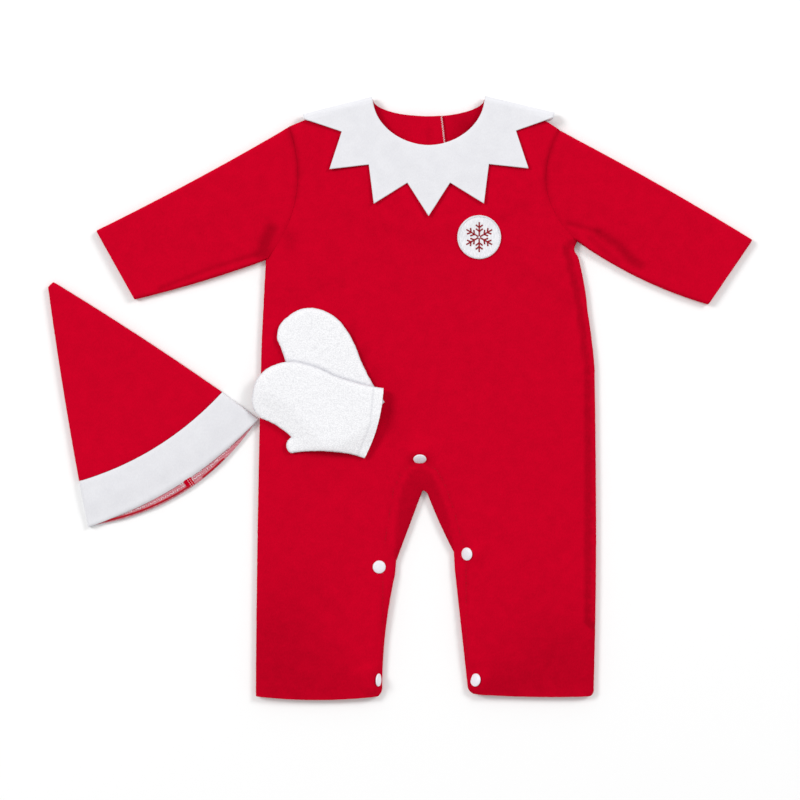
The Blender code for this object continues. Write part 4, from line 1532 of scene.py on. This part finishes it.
# %% Make the patch
PATCH_X, PATCH_Y = 79.0, 160.5
PATCH_RADIUS = 21.7
PATCH_WALL = 1.2
PATCH_GAP = 0.35


def patch_heights(x, y):
    low = front_heights(x, y)[1] + PATCH_GAP
    return low, low + PATCH_WALL


patch_points = [
    (PATCH_X + PATCH_RADIUS * math.cos(turn), PATCH_Y + PATCH_RADIUS * math.sin(turn))
    for turn in np.linspace(0.0, 2.0 * math.pi, 96, endpoint=False)
]
patch = sew_up("chest_patch", cut_cells(patch_points, (1.0,), 5.0, 2), patch_heights, white_felt)
declare_panel(fluff(patch, 1.4, 0.1, 14), patch_points)

# %% [markdown]
# ## Snap caps
#
# A plastic snap cap is moulded: a low dome, a fine groove near the rim, and a rounded edge that turns
# under. A turned profile gives that. It is spun round its own axis, tilted and set on the cloth, and
# the place is written into the mesh, so that the object itself stays at the origin.

# %% Make the caps
CAP_RADIUS = 6.5
CAP_STEPS = 56
CAP_LIFT = 0.35
CAP_PROFILE = (
    (0.0, 1.95), (1.2, 1.93), (2.4, 1.86), (3.6, 1.72), (4.5, 1.55), (4.95, 1.42),
    (5.1, 1.28), (5.25, 1.3), (5.6, 1.22), (6.0, 0.98), (6.3, 0.66), (6.46, 0.34),
    (6.5, 0.08), (6.42, -0.16), (6.0, -0.3), (0.0, -0.3),
)  # fmt: skip


def make_cap(snap):
    points, faces = [], []
    for radius, height in CAP_PROFILE:
        for step in range(CAP_STEPS):
            turn = 2.0 * math.pi * step / CAP_STEPS
            points.append((radius * math.cos(turn), radius * math.sin(turn), height))
    join_run(faces, 0, len(CAP_PROFILE), CAP_STEPS, flip=True)
    mesh = closed_mesh(snap.name, points, faces, merge=0.001)
    turn = math.radians(snap.toward)
    lean = math.radians(snap.tilt)
    normal = Vector((math.cos(turn) * math.sin(lean), math.sin(turn) * math.sin(lean), math.cos(lean)))
    seat = float(front_heights(np.array([snap.x]), np.array([snap.y]))[1][0])
    tilt = Vector((0.0, 0.0, 1.0)).rotation_difference(normal).to_matrix().to_4x4()
    mesh.transform(Matrix.Translation(Vector((snap.x, snap.y, seat)) + normal * CAP_LIFT) @ tilt)
    cap = add_piece(snap.name + "_cap", mesh, snap_acetal)
    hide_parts(snap.name)


for snap in SNAPS:
    make_cap(snap)
print(len(SNAPS), "snap caps", 2 * CAP_RADIUS, "mm across")

# %% [markdown]
# ## Stitches
#
# Stitches repeat along a path, so Geometry Nodes make them. The tree takes a line, places points at
# even steps, puts a small thread grain on each, turned along the line, and leans it by a slant that
# may alternate for a zigzag. Fixed seeds keep every run the same. The result is made a plain mesh.

# %% The stitch tree
def make_stitch_tree():
    tree = bpy.data.node_groups.new("stitches", "GeometryNodeTree")
    tree.is_modifier = True
    face = tree.interface
    face.new_socket("Geometry", in_out="INPUT", socket_type="NodeSocketGeometry")
    for name in ("Stitch length", "Spacing", "Thread radius", "Slant", "Zigzag", "Unevenness"):
        face.new_socket(name, in_out="INPUT", socket_type="NodeSocketFloat")
    face.new_socket("Seed", in_out="INPUT", socket_type="NodeSocketInt")
    face.new_socket("Thread", in_out="INPUT", socket_type="NodeSocketMaterial")
    face.new_socket("Geometry", in_out="OUTPUT", socket_type="NodeSocketGeometry")
    given = add_node(tree, "NodeGroupInput").outputs
    path = add_node(tree, "GeometryNodeMeshToCurve", {"Mesh": given["Geometry"]})
    steps = add_node(
        tree, "GeometryNodeResampleCurve", {"Curve": path, "Length": given["Spacing"]}, mode="LENGTH"
    )
    tangent = add_node(tree, "GeometryNodeInputTangent")
    along = add_node(tree, "FunctionNodeAlignRotationToVector", {"Vector": tangent}, axis="X")
    index = add_node(tree, "GeometryNodeInputIndex")
    odd = add_node(tree, "ShaderNodeMath", {0: index, 1: 2.0}, operation="MODULO")
    side = add_node(tree, "ShaderNodeMath", {0: odd, 1: given["Zigzag"]}, operation="MULTIPLY")
    sign = add_node(tree, "ShaderNodeMath", {0: side, 1: -2.0, 2: 1.0}, operation="MULTIPLY_ADD")
    slant = add_node(tree, "ShaderNodeMath", {0: sign, 1: given["Slant"]}, operation="MULTIPLY")
    uneven = given["Unevenness"]
    less = add_node(tree, "ShaderNodeMath", {0: uneven, 1: -1.0}, operation="MULTIPLY")
    wobble = add_node(
        tree, "FunctionNodeRandomValue", {2: less, 3: uneven, "Seed": given["Seed"]}, data_type="FLOAT"
    ).outputs[1]
    angle = add_node(tree, "ShaderNodeMath", {0: slant, 1: wobble}, operation="ADD")
    turn = add_node(
        tree, "FunctionNodeAxisAngleToRotation", {"Axis": (0.0, 0.0, 1.0), "Angle": angle}
    )
    turned = add_node(
        tree, "FunctionNodeRotateRotation", {"Rotation": along, "Rotate By": turn}, rotation_space="LOCAL"
    )
    size = add_node(tree, "ShaderNodeMath", {0: wobble, 1: 0.6, 2: 1.0}, operation="MULTIPLY_ADD")
    half = add_node(tree, "ShaderNodeMath", {0: given["Stitch length"], 1: 0.5}, operation="MULTIPLY")
    radius = given["Thread radius"]
    shape = add_node(tree, "ShaderNodeCombineXYZ", {"X": half, "Y": radius, "Z": radius})
    ball = add_node(tree, "GeometryNodeMeshUVSphere", {"Segments": 6, "Rings": 5, "Radius": 1.0})
    grain = add_node(tree, "GeometryNodeTransform", {"Geometry": ball, "Scale": shape})
    placed = add_node(
        tree,
        "GeometryNodeInstanceOnPoints",
        {"Points": steps, "Instance": grain, "Rotation": turned, "Scale": size},
    )
    real = add_node(tree, "GeometryNodeRealizeInstances", {"Geometry": placed})
    threaded = add_node(
        tree, "GeometryNodeSetMaterial", {"Geometry": real, "Material": given["Thread"]}
    )
    add_node(tree, "NodeGroupOutput", {"Geometry": threaded})
    return tree


STITCH_TREE = make_stitch_tree()
SOCKETS = {}
for item in STITCH_TREE.interface.items_tree:
    if getattr(item, "in_out", "") == "INPUT":
        SOCKETS[item.name] = item.identifier


def stitch(name, lines, thread, length, spacing, radius, slant=0.0, zigzag=False, uneven=0.06, seed=1):
    """Stitches along lines. Lines and sizes are in millimetres, and the slant in degrees."""
    points, edges = [], []
    for line in lines:
        start = len(points)
        points += [tuple(point) for point in np.asarray(line) * MM]
        edges += [(k, k + 1) for k in range(start, len(points) - 1)]
    path = bpy.data.meshes.new(name)
    path.from_pydata(points, edges, [])
    row = bpy.data.objects.new(name, path)
    bpy.context.collection.objects.link(row)
    sewing = row.modifiers.new("sewing", "NODES")
    sewing.node_group = STITCH_TREE
    settings = {
        "Stitch length": length * MM,
        "Spacing": spacing * MM,
        "Thread radius": radius * MM,
        "Slant": math.radians(slant),
        "Zigzag": 1.0 if zigzag else 0.0,
        "Unevenness": uneven,
        "Seed": seed,
        "Thread": thread,
    }
    for socket, value in settings.items():
        sewing[SOCKETS[socket]] = value
    made = finished_mesh(row)
    row.modifiers.clear()
    row.data = made
    made.shade_smooth()
    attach(row, "root")
    print(f"{name}: {len(made.polygons)} faces")
    return row


# %% Rows of stitches
def laid_on(heights, places, lift):
    """Points of a line on the upper face of a piece."""
    x, y = np.array(places, dtype=float).T
    return np.column_stack((x, y, heights(x, y)[1] + lift))


def run_of(corners, step=1.5):
    """Points along a bent line, close together."""
    points = []
    for (ax, ay), (bx, by) in zip(corners, corners[1:]):
        count = max(1, int(math.hypot(bx - ax, by - ay) / step))
        points += [(blend(ax, bx, k / count), blend(ay, by, k / count)) for k in range(count)]
    return points + [corners[-1]]


placket_rows = [laid_on(front_heights, run_of(line), 0.05) for line in TOPSTITCHES]
sewn = stitch("placket_stitches", placket_rows, topstitch_thread, 2.6, 3.2, 0.26, uneven=0.05)

lap_line = [(45.0, 240.0), (45.0, 250.0), (lap_edge[0] - 0.8, lap_edge[1] - 0.5)]
lap_rows = [laid_on(lapped_heights, run_of(lap_line), 0.1)]
sewn = stitch(
    "opening_overlock", lap_rows, white_thread, 2.4, 1.15, 0.26, slant=62.0, zigzag=True, seed=2
)

# %% [markdown]
# The strip in the hat is overlocked: white loops cross its edge in a zigzag, uneven and half worn
# away. A thin red edge of the outer cloth shows beside it, and the seam at the hat's centre back
# crosses it as a small red tab with white stitches.

# %% Overlock, red edge and seam tab in the hat
FLECK_HEIGHT = HAT_WALL + SEAM_GAP + FACING_WALL + 0.15
FLECK_ROWS = ((4.4, 8), (7.0, 24), (9.4, 26))
TAB_AT = 0.56
TAB_HALF = 4.2
TAB_RINGS = 24
TAB_SIDES = 16

flecks = [facing_line(depth, FLECK_HEIGHT)[first:-2] for depth, first in FLECK_ROWS]
sewn = stitch(
    "mouth_overlock", flecks, white_thread, 2.8, 2.3, 0.26, slant=52.0, zigzag=True, uneven=0.6, seed=3
)
red_edge = [facing_line(2.0, FLECK_HEIGHT)[1:27], facing_line(1.2, FLECK_HEIGHT)[30:37]]
sewn = stitch("mouth_red_edge", red_edge, topstitch_thread, 5.2, 2.2, 1.05, uneven=0.12, seed=4)

tab_rings = []
tab_step = int(TAB_AT * FACING_STEPS)
for depth in np.linspace(1.0, FACING_DEPTH - 2.0, TAB_RINGS):
    line = facing_line(depth, FLECK_HEIGHT)
    here = line[tab_step]
    across = line[tab_step + 1] - here
    across /= np.linalg.norm(across)
    ring = []
    for turn in np.linspace(0.0, 2.0 * math.pi, TAB_SIDES, endpoint=False):
        wide = math.copysign(abs(math.cos(turn)) ** 0.5, math.cos(turn)) * TAB_HALF
        ring.append(here + across * wide + np.array((0.0, 0.0, 0.35 + 0.45 * math.sin(turn))))
    tab_rings.append(np.array(ring))
tab_faces = []
close_run(tab_faces, 0, TAB_RINGS, TAB_SIDES)
tab_mesh = closed_mesh("hat_seam_tab", np.vstack(tab_rings).tolist(), tab_faces)
tab = add_piece("hat_seam_tab", tab_mesh, red_fleece, np.full(TAB_RINGS * TAB_SIDES, 0.3))

middle_line = np.array([ring.mean(axis=0) + np.array((0.0, 0.0, 0.5)) for ring in tab_rings])
side = (tab_rings[0][0] - tab_rings[0][TAB_SIDES // 2]) / 2.0 / TAB_HALF
tab_rows = [middle_line + side * shift for shift in (0.2, 2.4)]
sewn = stitch("tab_stitches", tab_rows, white_thread, 1.5, 1.9, 0.24, uneven=0.1, seed=5)

# %% [markdown]
# ## Embroidery on the patch
#
# A plain six-armed star in satin stitch: threads laid side by side across each arm, with a rim of
# blanket stitch round the felt. It is an old needlework motif and belongs to nobody.

# %% Star and rim
ARM = 13.5
BRANCH_AT = (5.6, 9.4)
BRANCH = 4.2
BRANCH_LEAN = 52.0
STAR_HOLE = 1.2
STAR_STEP = 0.8
RIM_INSET = 1.0


def on_patch(places, lift=0.12):
    return laid_on(patch_heights, [(PATCH_X + x, PATCH_Y + y) for x, y in places], lift)


def ray_line(start, angle, length):
    end = (start[0] + length * math.cos(angle), start[1] + length * math.sin(angle))
    return [start, end]


star_rows = []
for arm in range(6):
    angle = math.radians(90.0 + 60.0 * arm)
    across, up = math.cos(angle), math.sin(angle)
    rays = [ray_line((STAR_HOLE * across, STAR_HOLE * up), angle, ARM)]
    for out in BRANCH_AT:
        for lean in (-1.0, 1.0):
            turn = angle + lean * math.radians(BRANCH_LEAN)
            rays.append(ray_line((out * across, out * up), turn, BRANCH))
    star_rows += [on_patch(run_of(ray, STAR_STEP)) for ray in rays]
sewn = stitch("patch_star", star_rows, red_thread, 1.9, 0.42, 0.24, slant=84.0, uneven=0.05, seed=6)

rim_radius = PATCH_RADIUS - RIM_INSET
rim_circle = [
    (rim_radius * math.cos(turn), rim_radius * math.sin(turn))
    for turn in np.linspace(0.0, 2.0 * math.pi, 181)
]
rim_rows = [on_patch(rim_circle)]
sewn = stitch("patch_rim", rim_rows, white_thread, 2.2, 0.62, 0.3, slant=86.0, uneven=0.08, seed=7)

# %% [markdown]
# ## Sizes
#
# The finished costume has to fill the CAD model's box and stay inside it, apart from a little proud
# cloth. The boxes of the CAD model and of the finished costume are written out side by side.

# %% Write the sizes and finish
boxes = {"cad": [list(corner) for corner in cad_box], "visual": [list(corner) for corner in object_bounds()]}
for name, (low, high) in boxes.items():
    print(name, [round(a * 1000, 2) for a in low], [round(a * 1000, 2) for a in high])
